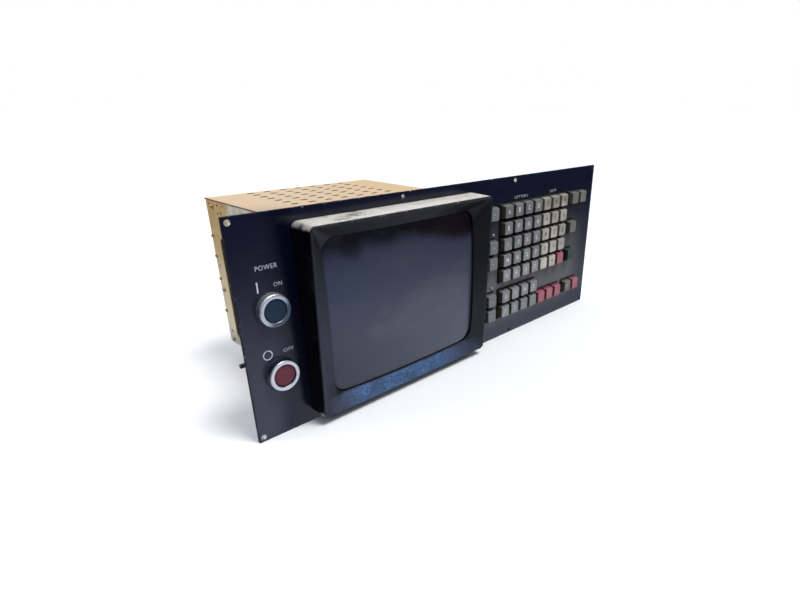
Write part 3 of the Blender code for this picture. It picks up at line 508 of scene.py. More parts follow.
def key_plastic(name, face, worn, side, grime=(0.016, 0.015, 0.009)):
    """Keycap plastic: paler on the rubbed face, darker deep between the caps, and with painted light on the sides:
    those that face up are painted lighter, the others darker in the side colour.
    """
    f = Finish(name, Specular_IOR_Level=0.4)
    tone = f.span(f.noise(24.0, 1.0, 0.5, (1, 0.1, 1), (5, 0, 2)), 0.32, 0.68, 0.0, 0.45)
    tone = f.calc("ADD", tone, f.span(f.xyz(2), 165.0, 60.0, 0.0, 0.55), True)
    top = f.mix(tone, face, worn)
    top = f.mix(f.calc("MULTIPLY", f.span(f.noise(5.0, 4.0, 0.7, (1, 1, 1), (3, 3, 3)), 0.54, 0.70), 0.35), top, side)
    # Painted light: sides that face up are painted lighter than the others, which take the darker side colour.
    front = f.span(f.facing(1), -0.55, -0.85)
    above = f.mix(f.calc("MULTIPLY", f.span(f.facing(2), 0.35, 0.85), 0.85), side, f.mix(0.45, face, worn))
    base = f.mix(front, above, top)
    deep = f.span(f.calc("ADD", f.xyz(1), f.calc("MULTIPLY", f.noise(3.0, 3.0), 2.0)), -4.4, 0.2)
    base = f.mix(f.calc("MULTIPLY", deep, 0.92), base, grime)
    f.base(base)
    f.rough(f.span(f.noise(3.0, 4.0, 0.6), 0.2, 0.8, 0.44, 0.60, "LINEAR"))
    f.bump(f.noise(0.45, 2.0, 0.6), 0.02, 0.6)
    return f.material


def board_green():
    f = Finish("board_green", Specular_IOR_Level=0.5)
    tracks = f.cells(5.0, "DISTANCE_TO_EDGE", (0, 0, 0), (1, 0.01, 1))
    lines = f.span(tracks.outputs["Distance"], 0.10, 0.06)
    base = f.mix(f.noise(30.0, 3.0), (0.020, 0.105, 0.045), (0.030, 0.140, 0.060))
    base = f.mix(f.calc("MULTIPLY", lines, 0.55), base, (0.060, 0.210, 0.085))
    f.base(base)
    f.rough(f.span(f.noise(8.0, 3.0), 0.2, 0.8, 0.30, 0.46, "LINEAR"))
    f.bump(lines, 0.03, 0.6)
    return f.material


def winding():
    f = Finish("copper_winding", metallic=0.6, Coat_Weight=0.4, Coat_Roughness=0.2)
    turns = f.node("ShaderNodeTexWave", wave_type="BANDS", bands_direction="Y")
    f.feed(turns.inputs["Vector"], f.at())
    turns.inputs["Scale"].default_value = 0.9
    turns.inputs["Distortion"].default_value = 1.5
    turns.inputs["Detail Scale"].default_value = 0.3
    f.base(f.mix(turns.outputs["Fac"], (0.20, 0.060, 0.022), (0.52, 0.21, 0.085)))
    f.rough(f.span(f.noise(4.0, 3.0), 0.2, 0.8, 0.26, 0.42, "LINEAR"))
    f.bump(turns.outputs["Fac"], 0.18, 0.9)
    return f.material


def ink(name, colour, worn):
    f = Finish(name, roughness=0.55)
    f.base(f.mix(f.span(f.noise(1.8, 4.0, 0.7), 0.42, 0.66), colour, worn))
    f.bump(f.noise(0.5, 2.0), 0.01, 0.4)
    return f.material


M = {
    "navy_paint": navy_paint(),
    "edge_paint": edge_paint(),
    "bezel_plastic": bezel_plastic(),
    "tube_glass": tube_glass(),
    "chromate_steel": chromate_steel(),
    "left_side_steel": left_side_steel(),
    "cover_cream": cover_cream(),
    "slot_edges": slot_edges(),
    "band_steel": steel("band_steel"),
    "bare_edge": steel("bare_edge", (0.50, 0.50, 0.51), 0.42, 0.3),
    "screw_steel": steel("screw_steel", (0.62, 0.60, 0.55), 0.30, 0.5),
    "screw_yellow": steel("screw_yellow", (0.50, 0.36, 0.20), 0.38, 0.6),
    "pin_tin": steel("pin_tin", (0.66, 0.66, 0.64), 0.28, 0.2),
    "brass": steel("contact_brass", (0.62, 0.46, 0.20), 0.30, 0.4),
    "chrome": chrome(),
    "cap_teal": cap_colour("cap_teal", (0.0065, 0.0190, 0.0420), (0.0095, 0.0260, 0.0540)),
    "cap_red": cap_colour("cap_red", (0.092, 0.019, 0.030), (0.130, 0.029, 0.043)),
    "key_grey": key_plastic("key_grey", (0.108, 0.107, 0.106), (0.250, 0.249, 0.254), (0.042, 0.041, 0.029)),
    "key_brown": key_plastic("key_brown", (0.120, 0.112, 0.098), (0.165, 0.156, 0.140), (0.060, 0.055, 0.045)),
    "key_warm": key_plastic("key_warm", (0.205, 0.183, 0.148), (0.500, 0.478, 0.405), (0.105, 0.096, 0.062)),
    "key_pale": key_plastic("key_pale", (0.138, 0.139, 0.147), (0.150, 0.151, 0.158), (0.056, 0.057, 0.054)),
    "key_olive": key_plastic("key_olive", (0.112, 0.108, 0.094), (0.150, 0.144, 0.126), (0.048, 0.045, 0.034)),
    "key_red": key_plastic("key_red", (0.290, 0.062, 0.080), (0.330, 0.120, 0.142), (0.110, 0.016, 0.024), (0.036, 0.006, 0.009)),
    "key_green": key_plastic("key_green", (0.020, 0.040, 0.030), (0.034, 0.062, 0.048), (0.0035, 0.0060, 0.0050), (0.004, 0.005, 0.004)),
    "lip_shade_black": moulded("lip_shade_black", (0.0035, 0.0035, 0.0040), (0.0060, 0.0058, 0.0062), 0.62),
    "black_plastic": moulded("black_plastic", (0.010, 0.010, 0.011), (0.020, 0.020, 0.021), 0.50),
    "former_plastic": moulded("former_plastic", (0.055, 0.050, 0.044), (0.090, 0.083, 0.072), 0.48),
    "connector_ivory": moulded("connector_ivory", (0.560, 0.530, 0.440), (0.680, 0.655, 0.570), 0.45),
    "grey_plastic": moulded("grey_plastic", (0.150, 0.152, 0.155), (0.215, 0.217, 0.220), 0.48),
    "blue_can": moulded("capacitor_blue", (0.018, 0.040, 0.120), (0.028, 0.058, 0.160), 0.35),
    "brown_body": moulded("resistor_brown", (0.230, 0.130, 0.060), (0.330, 0.200, 0.100), 0.42),
    "heat_sink": steel("heat_sink", (0.40, 0.40, 0.41), 0.42, 0.3),
    "board_green": board_green(),
    "copper_coil": winding(),
    "led_lens": moulded("led_lens", (0.250, 0.262, 0.280), (0.340, 0.352, 0.370), 0.26),
    "ink_white": ink("ink_white", (0.56, 0.57, 0.60), (0.30, 0.31, 0.34)),
    "ink_faint": ink("ink_faint", (0.54, 0.55, 0.58), (0.29, 0.30, 0.33)),
    "ink_key": ink("ink_key", (0.60, 0.61, 0.64), (0.34, 0.35, 0.38)),
    "ink_dark": ink("ink_dark", (0.052, 0.048, 0.045), (0.110, 0.100, 0.085)),
}


# ------------------------------------------------------------------ meshes
def rect(x0, x1, z0, z1):
    return [(x0, z0), (x1, z0), (x1, z1), (x0, z1)]


def circle(cx, cz, r, n=24, turn=0.0):
    return [(cx + r * math.cos(turn + math.tau * i / n), cz + r * math.sin(turn + math.tau * i / n)) for i in range(n)]


def round_rect(x0, x1, z0, z1, r, corner=6, side=0):
    points = []
    for sx, sz, start in ((1, 1, 0), (-1, 1, 90), (-1, -1, 180), (1, -1, 270)):
        mx = (x1 - r) if sx > 0 else (x0 + r)
        mz = (z1 - r) if sz > 0 else (z0 + r)
        arc = []
        for i in range(corner):
            a = math.radians(start + 90 * i / (corner - 1))
            arc.append((mx + r * math.cos(a), mz + r * math.sin(a)))
        if points and side:
            p, q = points[-1], arc[0]
            points += [(p[0] + (q[0] - p[0]) * k / (side + 1), p[1] + (q[1] - p[1]) * k / (side + 1)) for k in range(1, side + 1)]
        points += arc
    if side:
        p, q = points[-1], points[0]
        points += [(p[0] + (q[0] - p[0]) * k / (side + 1), p[1] + (q[1] - p[1]) * k / (side + 1)) for k in range(1, side + 1)]
    return points


def rounded(loop, r, steps=3):
    """The outline with each of its corners rounded to radius r."""
    points = []
    n = len(loop)
    for i in range(n):
        p, c, q = Vector(loop[i - 1]), Vector(loop[i]), Vector(loop[(i + 1) % n])
        a, b = (p - c).normalized(), (q - c).normalized()
        half = a.angle(b) / 2
        reach = r / math.tan(half)
        centre = c + (a + b).normalized() * (r / math.sin(half))
        start, end = c + a * reach - centre, c + b * reach - centre
        turn = start.angle_signed(end)
        for k in range(steps + 1):
            v = start.copy()
            v.rotate(Matrix.Rotation(-turn * k / steps, 2))
            points.append(tuple(centre + v))
    return points


def inset(loop, d):
    """An anticlockwise outline moved inwards by d, or outwards if d is negative."""
    if not d:
        return list(loop)
    out, n = [], len(loop)
    for i, (x, z) in enumerate(loop):
        px, pz = loop[i - 1]
        qx, qz = loop[(i + 1) % n]
        ax, az, bx, bz = x - px, z - pz, qx - x, qz - z
        la, lb = math.hypot(ax, az), math.hypot(bx, bz)
        n1, n2 = (-az / la, ax / la), (-bz / lb, bx / lb)
        k = d / (1 + n1[0] * n2[0] + n1[1] * n2[1])
        out.append((x + (n1[0] + n2[0]) * k, z + (n1[1] + n2[1]) * k))
    return out


PUT = {
    "Y": lambda u, v, a: (u, a, v),
    "X": lambda u, v, a: (a, u, v),
    "Z": lambda u, v, a: (u, v, a),
}


def slab(bm, loops, low, high, axis="Y", edge=0.4, steps=3, slot=0, hole_slot=None, back_edge=None, bare=()):
    """A flat piece with rounded edges. The first outline is the outside, the others are holes, and
    those listed in `bare` have walls of the second material."""
    put = PUT[axis]
    back_edge = edge if back_edge is None else back_edge
    rows_front, rows_back = [], []
    for index, loop in enumerate(loops):
        area = sum(loop[i - 1][0] * loop[i][1] - loop[i][0] * loop[i - 1][1] for i in range(len(loop)))
        if area < 0:
            loop = loop[::-1]
        sign = 1 if index == 0 else -1
        # Runs from the front face's inset outline, over the edge, to the back face's.
        turns = [math.pi / 2 * k / steps for k in range(steps + 1)]
        stations = [(low + edge * (1 - math.sin(t)), edge * (1 - math.cos(t))) for t in turns[::-1]] if edge else [(low, 0.0)]
        stations += [(high - back_edge * (1 - math.sin(t)), back_edge * (1 - math.cos(t))) for t in turns] if back_edge else [(high, 0.0)]
        rows = []
        for depth, d in stations:
            rows.append([bm.verts.new(put(u, v, depth)) for u, v in inset(loop, sign * d)])
        for a, b in zip(rows, rows[1:]):
            for i in range(len(a)):
                face = bm.faces.new((a[i - 1], a[i], b[i], b[i - 1]))
                face.material_index = slot if index == 0 or hole_slot is None else hole_slot
                if index in bare:
                    face.material_index = 1
        rows_front.append(rows[0])
        rows_back.append(rows[-1])
    for rows in (rows_front, rows_back):
        edges = []
        for row in rows:
            for i in range(len(row)):
                edges.append(bm.edges.get((row[i - 1], row[i])) or bm.edges.new((row[i - 1], row[i])))
        made = bmesh.ops.triangle_fill(bm, use_beauty=True, use_dissolve=False, edges=edges)
        for g in made["geom"]:
            if isinstance(g, bmesh.types.BMFace):
                g.material_index = slot


def loft(bm, loops, ring=False, slot=0, caps=True):
    rows = [[bm.verts.new(p) for p in loop] for loop in loops]
    for a, b in list(zip(rows, rows[1:] + rows[:1])) if ring else list(zip(rows, rows[1:])):
        for i in range(len(a)):
            bm.faces.new((a[i - 1], a[i], b[i], b[i - 1])).material_index = slot
    if not ring and caps:
        bm.faces.new(rows[0]).material_index = slot
        bm.faces.new(rows[-1]).material_index = slot
    return rows


def turned(bm, profile, at, axis="Y", steps=32, ring=False, slot=0, sign=1.0):
    """Turns (radius, distance) stations about an axis through `at`, distances counted from it."""
    cx, cy, cz = at
    loops = []
    for r, a in profile:
        if axis == "Y":
            loops.append([(x, cy + sign * a, z) for x, z in circle(cx, cz, r, steps)])
        elif axis == "X":
            loops.append([(cx + sign * a, y, z) for y, z in circle(cy, cz, r, steps)])
        else:
            loops.append([(x, y, cz + sign * a) for x, y in circle(cx, cy, r, steps)])
    return loft(bm, loops, ring, slot)


def block(bm, x0, x1, y0, y1, z0, z1, edge=0.4, slot=0, steps=2):
    """A box whose twelve edges are rounded."""
    e = min(edge, (x1 - x0) / 2.2, (y1 - y0) / 2.2, (z1 - z0) / 2.2)
    stations = []
    for k in range(steps + 1):
        t = math.pi / 2 * k / steps
        stations.append((y0 + e * (1 - math.sin(t)), e * (1 - math.cos(t))))
    stations = stations[::-1]
    loops = []
    for depth, d in stations + [(y0 + y1 - depth, d) for depth, d in stations[::-1]]:
        loops.append([(x, depth, z) for x, z in round_rect(x0 + d, x1 - d, z0 + d, z1 - d, max(e - d, 0.02), steps + 2)])
    loft(bm, loops, slot=slot)


def plus(cx, cz, reach, width):
    r, w = reach, width / 2
    return [(cx + a, cz + b) for a, b in ((r, -w), (r, w), (w, w), (w, r), (-w, r), (-w, w), (-r, w), (-r, -w), (-w, -w), (-w, -r), (w, -r), (w, -w))]


def screw(bm, at, axis, sign, r=3.2, h=2.0, slot=0, kind="cross", turn=0.4):
    """A pan-head screw with its recess. `sign` is the way its head faces along the axis."""
    cx, cy, cz = at
    u, v = {"Y": (cx, cz), "X": (cy, cz), "Z": (cx, cy)}[axis]
    base = {"Y": cy, "X": cx, "Z": cz}[axis]
    put = PUT[axis]
    n = 24
    rows = []
    for radius, height in ((r, -0.3), (r, h * 0.35), (r * 0.96, h * 0.62), (r * 0.84, h * 0.86), (r * 0.62, h)):
        rows.append([bm.verts.new(put(a, b, base + sign * height)) for a, b in circle(u, v, radius, n)])
    for a, b in zip(rows, rows[1:]):
        for i in range(n):
            bm.faces.new((a[i - 1], a[i], b[i], b[i - 1])).material_index = slot
    bm.faces.new(rows[0]).material_index = slot
    shape = plus(0, 0, r * 0.46, r * 0.17) if kind == "cross" else rect(-r * 0.62 * 0.9, r * 0.62 * 0.9, -r * 0.13, r * 0.13)
    spun = [(u + a * math.cos(turn) - b * math.sin(turn), v + a * math.sin(turn) + b * math.cos(turn)) for a, b in shape]
    lip = [bm.verts.new(put(a, b, base + sign * h)) for a, b in spun]
    floor = [bm.verts.new(put(a, b, base + sign * h * 0.35)) for a, b in spun]
    for i in range(len(lip)):
        bm.faces.new((lip[i - 1], lip[i], floor[i], floor[i - 1])).material_index = slot
    bm.faces.new(floor).material_index = slot
    edges = []
    for row in (rows[-1], lip):
        for i in range(len(row)):
            edges.append(bm.edges.get((row[i - 1], row[i])))
    made = bmesh.ops.triangle_fill(bm, use_beauty=True, use_dissolve=False, edges=edges)
    for g in made["geom"]:
        if isinstance(g, bmesh.types.BMFace):
            g.material_index = slot


def hex_nut(bm, at, axis, sign, across, h, bore, slot=0, turn=0.2):
    cx, cy, cz = at
    u, v = {"Y": (cx, cz), "X": (cy, cz), "Z": (cx, cy)}[axis]
    base = {"Y": cy, "X": cx, "Z": cz}[axis]
    low, high = sorted((base, base + sign * h))
    slab(bm, [circle(u, v, across / math.sqrt(3), 6, turn), circle(u, v, bore, 18)], low, high, axis, 0.25, 2, slot)


def finish_piece(name, bm, materials, body="panel", replaces=(), angle=38, weighted=True):
    bmesh.ops.recalc_face_normals(bm, faces=bm.faces)
    for v in bm.verts:
        v.co = (v.co + SHIFT) * MM
    mesh = bpy.data.meshes.new(name)
    bm.to_mesh(mesh)
    bm.free()
    mesh.shade_smooth()
    mesh.set_sharp_from_angle(angle=math.radians(angle))
    obj = bpy.data.objects.new(name, mesh)
    for key in [materials] if isinstance(materials, str) else materials:
        mesh.materials.append(M[key])
    bpy.context.scene.collection.objects.link(obj)
    if weighted:
        step = obj.modifiers.new("face_weighted_normals", "WEIGHTED_NORMAL")
        step.keep_sharp = True
        step.weight = 60
    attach(obj, body)
    if replaces:
        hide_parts(*([replaces] if isinstance(replaces, str) else replaces))
    return obj


def lettering(text, x0, x1, z0, z1, surface, thick=0.06, spread=1.0, bold=0.0):
    """Text filled to a box, as (vertices, faces) on the surface y = surface(x, z), facing the user."""
    curve = bpy.data.curves.new("lettering", "FONT")
    curve.body = text
    curve.size = 1.0
    curve.space_character = spread
    curve.resolution_u = 3
    curve.offset = bold
    holder = bpy.data.objects.new("lettering", curve)
    bpy.context.scene.collection.objects.link(holder)
    bpy.context.view_layer.update()
    flat = bpy.data.meshes.new_from_object(holder.evaluated_get(bpy.context.evaluated_depsgraph_get()))
    bpy.data.objects.remove(holder, do_unlink=True)
    bpy.data.curves.remove(curve)
    bm = bmesh.new()
    bm.from_mesh(flat)
    bpy.data.meshes.remove(flat)
    bmesh.ops.remove_doubles(bm, verts=bm.verts, dist=1e-5)
    us, vs = [v.co.x for v in bm.verts], [v.co.y for v in bm.verts]
    u0, u1, v0, v1 = min(us), max(us), min(vs), max(vs)
    for v in bm.verts:
        v.co = ((v.co.x - u0) / (u1 - u0) * (x1 - x0) + x0, 0.0, (v.co.y - v0) / (v1 - v0) * (z1 - z0) + z0)
    grown = bmesh.ops.extrude_face_region(bm, geom=bm.faces[:])
    back = {g for g in grown["geom"] if isinstance(g, bmesh.types.BMVert)}
    for v in bm.verts:
        v.co.y = surface(v.co.x, v.co.z) + (thick if v in back else -thick)
    bmesh.ops.recalc_face_normals(bm, faces=bm.faces)
    return bm


def merge(bm, other, slot):
    """Adds another bmesh's faces to bm, with a material slot of their own."""
    table = {v: bm.verts.new(v.co) for v in other.verts}
    for face in other.faces:
        try:
            bm.faces.new([table[v] for v in face.verts]).material_index = slot
        except ValueError:
            pass
    other.free()


# ------------------------------------------------------------------ front plate
def key_at(key):
    return KEY_COLUMNS[key[1]], KEY_ROWS[key[0]]


def around(keys):
    xs, zs = zip(*(key_at(k) for k in keys))
    return rounded(rect(min(xs) - KEY_CLEAR, max(xs) + KEY_CLEAR, min(zs) - KEY_CLEAR, max(zs) + KEY_CLEAR), 1.0)


def edit_group():
    x1, x4, x7 = (KEY_COLUMNS[c] for c in (1, 4, 7))
    z6, z7, k = KEY_ROWS[6], KEY_ROWS[7], KEY_CLEAR
    return rounded([(x1 - k, z7 - k), (x7 + k, z7 - k), (x7 + k, z7 + k), (x4 + k, z7 + k), (x4 + k, z6 + k), (x1 - k, z6 + k)], 1.0)


def front_plate():
    loops = [round_rect(-PLATE_W / 2, PLATE_W / 2, 0, PLATE_H, 0.8, 4)]
    for z in (HOLE_IN_Z, PLATE_H - HOLE_IN_Z):
        for x in (PLATE_W / 2 - HOLE_IN_X, HOLE_MID_X):
            loops += [circle(-x, z, HOLE_R, 24), circle(x, z, HOLE_R, 24)]
    loops.append(round_rect(SCREEN_CX - 96.5, SCREEN_CX + 96.5, SCREEN_CZ - 77, SCREEN_CZ + 77, 21.0, 10))
    loops += [circle(BUTTON_X, z, 11.25, 40) for z in (ON_Z, OFF_Z)]
    loops += [circle(x, z, 3.5, 18) for x, z in POSTS]
    loops += [circle(x, z, 1.75, 18) for x, z in LEDS.values()]
    loops += [
        around([(r, c) for r in (1, 5) for c in (1, 7)]),
        edit_group(),
        around([(1, 8), (1, 9)]),
        around([(3, 8)]),
        around([(5, 8)]),
        around([(7, 8), (7, 9)]),
        around([(1, 0)]),
        around([(3, 0), (4, 0)]),
        around([(6, 0), (7, 0)]),
    ]
    bm = bmesh.new()
    slab(bm, loops, 0, PLATE_T, "Y", 0.35, 2, bare=(1, 5, 8))
    for x in (X0 - 5.5, X1 + 5.5):
        for z in (45.0, 158.0):
            turned(bm, [(3.4, 2.9), (3.0, 3.3), (2.0, 3.6), (2.0, 9.1), (1.6, 9.5)], (x, 0, z), "Y", 18)
    for face in bm.faces:
        if min(abs(v.co.x) for v in face.verts) > 259.6:
            face.material_index = 2
    finish_piece("front_plate", bm, ["navy_paint", "bare_edge", "edge_paint"], replaces="front_panel")

    bm = bmesh.new()
    for x in (X0 - 5.5, X1 + 5.5):
        for z in (45.0, 158.0):
            turned(bm, [(2.3, 6.55), (4.4, 6.55), (4.4, 7.0), (2.3, 7.0)], (x, 0, z), "Y", 24, True)
            hex_nut(bm, (x, 7.0, z), "Y", 1, 6.4, 2.3, 2.05)
    finish_piece("flange_nuts", bm, "band_steel")

    bm = bmesh.new()
    level = lambda x, z: 0.0
    for text, box in (
        ("POWER", (-240.2, -221.4, 150.6, 154.5)),
        ("ON", (-226.7, -219.2, 135.4, 138.7)),
        ("OFF", (-226.3, -216.7, 76.7, 79.8)),
        ("LETTERS", (85.6, 110.4, 169.3, 172.4)),
        ("DATA", (157.2, 171.0, 169.3, 172.4)),
    ):
        merge(bm, lettering(text, *box, level, spread=1.10, bold=-0.010), 1 if text in ("ON", "OFF") else 0)
    slab(bm, [rounded(rect(-241.3, -240.0, 132.9, 141.9), 0.3, 2)], -0.06, 0.06, "Y", 0.0)
    slab(bm, [circle(-240.6, 78.4, 4.35, 48), circle(-240.6, 78.4, 3.45, 48)], -0.06, 0.06, "Y", 0.0)
    finish_piece("panel_legends", bm, ["ink_white", "ink_faint"], weighted=False)


# ------------------------------------------------------------------ bezel
def bezel():
    def outer(d, r, depth):
        flat = round_rect(BEZEL_X[0] + d, BEZEL_X[1] - d, BEZEL_Z[0] + d, BEZEL_Z[1] - d, r, 11, 11)
        return [(x, depth(x, z), z) for x, z in flat]

    def inner(d, depth):
        flat = round_rect(SCREEN_X[0] - d, SCREEN_X[1] + d, SCREEN_Z[0] - d, SCREEN_Z[1] + d, SCREEN_R + d, 11, 11)
        return [(x, depth(x, z), z) for x, z in flat]

    def between(a, b, t, lift=0.0):
        return [(p[0] + (q[0] - p[0]) * t, p[1] + (q[1] - p[1]) * t + lift, p[2] + (q[2] - p[2]) * t) for p, q in zip(a, b)]

    def lip(d, reach):
        # The lip stands less proud of the glass along its foot.
        return inner(d, lambda x, z: face_y(x, z) - reach * (1.0 - 0.42 * min(1.0, max(0.0, (64.0 - z) / 34.0))))

    rim_in = outer(3.1, 3.3, lambda x, z: rim_y(z) + 0.3)
    mouth = lip(0.5, 3.05)
    loops = [
        outer(0.3, 6.2, lambda x, z: -0.3),
        outer(0.0, 6.5, lambda x, z: -0.7),
        outer(0.45, 5.8, lambda x, z: rim_y(z) * 0.5),
        outer(0.8, 5.1, lambda x, z: rim_y(z) + 1.5),
        outer(0.88, 4.9, lambda x, z: rim_y(z) + 0.9),
        outer(1.08, 4.7, lambda x, z: rim_y(z) + 0.42),
        outer(1.4, 4.4, lambda x, z: rim_y(z) + 0.13),
        outer(1.8, 4.1, lambda x, z: rim_y(z) + 0.0),
        outer(2.4, 3.7, lambda x, z: rim_y(z) + 0.06),
        rim_in,
        between(rim_in, mouth, 0.04, 0.12),
        between(rim_in, mouth, 0.5, 0.25),
        between(rim_in, mouth, 0.94, 0.02),
        mouth,
        lip(0.22, 2.9),
        lip(0.06, 2.65),
        lip(0.0, 2.3),
        inner(0.0, lambda x, z: face_y(x, z) - 0.8),
        inner(3.6, lambda x, z: face_y(x, z) - 0.5),
        outer(4.0, 3.0, lambda x, z: rim_y(z) + 4.2),
        outer(3.0, 3.0, lambda x, z: -0.3),
    ]
    bm = bmesh.new()
    rows = loft(bm, loops, ring=True)
    # Painted shade: the lip's rows, where the lip meets the glass, take a darker black.
    shaded = {v for row in rows[14:19] for v in row}
    for face in bm.faces:
        if all(v in shaded for v in face.verts):
            face.material_index = 1
    for x, z in POSTS:
        turned(bm, [(3.2, -14.0), (3.2, 4.6), (2.8, 5.0), (1.6, 5.0), (1.6, 2.0)], (x, 0, z), "Y", 20)
    finish_piece("screen_bezel", bm, ["bezel_plastic", "lip_shade_black"], replaces="crt_bezel", angle=50)

    bm = bmesh.new()
    for i, (x, z) in enumerate(POSTS):
        screw(bm, (x, 5.0, z), "Y", 1, 3.0, 1.8, turn=0.3 + i)
    finish_piece("bezel_screws", bm, "screw_steel")


# ------------------------------------------------------------------ picture tube
def tube_loop(scale, y, share=0.0, radius=None, push=0.0):
    flat = round_rect(-TUBE_W / 2 * scale, TUBE_W / 2 * scale, -TUBE_H / 2 * scale, TUBE_H / 2 * scale, TUBE_R * scale, 11, 9)
    points = []
    for x, z in flat:
        if radius is not None:
            a = math.atan2(z, x)
            x += (radius * math.cos(a) - x) * share
            z += (radius * math.sin(a) - z) * share
        px, pz = x + SCREEN_CX, z + SCREEN_CZ
        points.append((px, face_y(px, pz) + push if y is None else y, pz))
    return points


def picture_tube():
    bm = bmesh.new()
    rows = [tube_loop(s, None) for s in (0.02, 0.12, 0.24, 0.36, 0.48, 0.6, 0.72, 0.82, 0.9, 0.955, 0.983)]
    rows += [
        tube_loop(0.994, None, push=0.5),
        tube_loop(0.999, None, push=1.3),
        [(x, face_y(x, z) + 2.6, z) for x, _, z in tube_loop(1.0, None)],
        tube_loop(1.0, 3.0),
        tube_loop(1.0, 10.0),
        tube_loop(0.985, 16.0),
        tube_loop(0.94, 24.0),
        tube_loop(0.88, 33.0, 0.05, 70.0),
        tube_loop(0.80, 42.0, 0.15, 68.0),
        tube_loop(0.70, 52.0, 0.32, 60.0),
        tube_loop(0.60, 62.0, 0.5, 51.0),
        tube_loop(0.50, 71.0, 0.7, 41.0),
        tube_loop(0.40, 80.0, 0.87, 31.5),
        tube_loop(0.3, 88.5, 0.97, 23.0),
        tube_loop(0.2, 96.0, 1.0, 16.8),
        tube_loop(0.2, 101.0, 1.0, 13.4),
        tube_loop(0.2, 106.0, 1.0, 11.4),
        tube_loop(0.2, 112.0, 1.0, NECK_R),
        tube_loop(0.2, NECK_END - 3, 1.0, NECK_R),
        tube_loop(0.2, NECK_END - 0.8, 1.0, NECK_R - 0.9),
        tube_loop(0.2, NECK_END, 1.0, NECK_R - 2.5),
    ]
    loft(bm, rows)
    finish_piece("picture_tube_glass", bm, "tube_glass", replaces="picture_tube", angle=60, weighted=False)

    def skirt(grow, y):
        return [(x, y, z) for x, z in round_rect(SCREEN_CX - 95 - grow, SCREEN_CX + 95 + grow, SCREEN_CZ - 75.5 - grow, SCREEN_CZ + 75.5 + grow, TUBE_R + grow, 12)]

    y0, y1 = 3.3, 15.0
    bm = bmesh.new()
    loft(bm, [skirt(0.4, y0), skirt(1.9, y0), skirt(2.2, y0 + 0.3), skirt(2.2, y1 - 0.3), skirt(1.9, y1), skirt(0.4, y1)], ring=True)
    for sx in (-1, 1):
        for sz in (-1, 1):
            along, across = Vector((sx, sz)).normalized(), Vector((-sz, sx)).normalized()
            root = Vector((SCREEN_CX + sx * 89.4, SCREEN_CZ + sz * 69.9))
            outline = [tuple(root + along * u + across * v) for u, v in ((0, -7), (13, -7), (18, -3), (18, 3), (13, 7), (0, 7))]
            if sx * sz < 0:
                outline = outline[::-1]
            hole = root + along * 11.0
            slab(bm, [rounded(outline, 1.2, 3), circle(hole.x, hole.y, 2.4, 20)], y0 + 0.1, y0 + 1.7, "Y", 0.2, 2)
    # The clamp that tightens the band, low on its right side.
    block(bm, 2.6, 6.4, y0 + 1.6, y1 - 1.0, 60.0, 72.0, 0.5)
    finish_piece("rim_band", bm, "band_steel", replaces="tube_rim_band", angle=40)

    bm = bmesh.new()
    for sx in (-1, 1):
        for sz in (-1, 1):
            along = Vector((sx, sz)).normalized()
            hole = Vector((SCREEN_CX + sx * 89.4, SCREEN_CZ + sz * 69.9)) + along * 11.0
            hex_nut(bm, (hole.x, y0 + 1.75, hole.y), "Y", 1, 6.4, 2.6, 1.9, turn=sx + 0.3 * sz)
            turned(bm, [(1.8, 0.0), (1.8, 5.2), (1.5, 5.6)], (hole.x, y0 + 1.0, hole.y), "Y", 16)
    finish_piece("tube_nuts", bm, "band_steel")


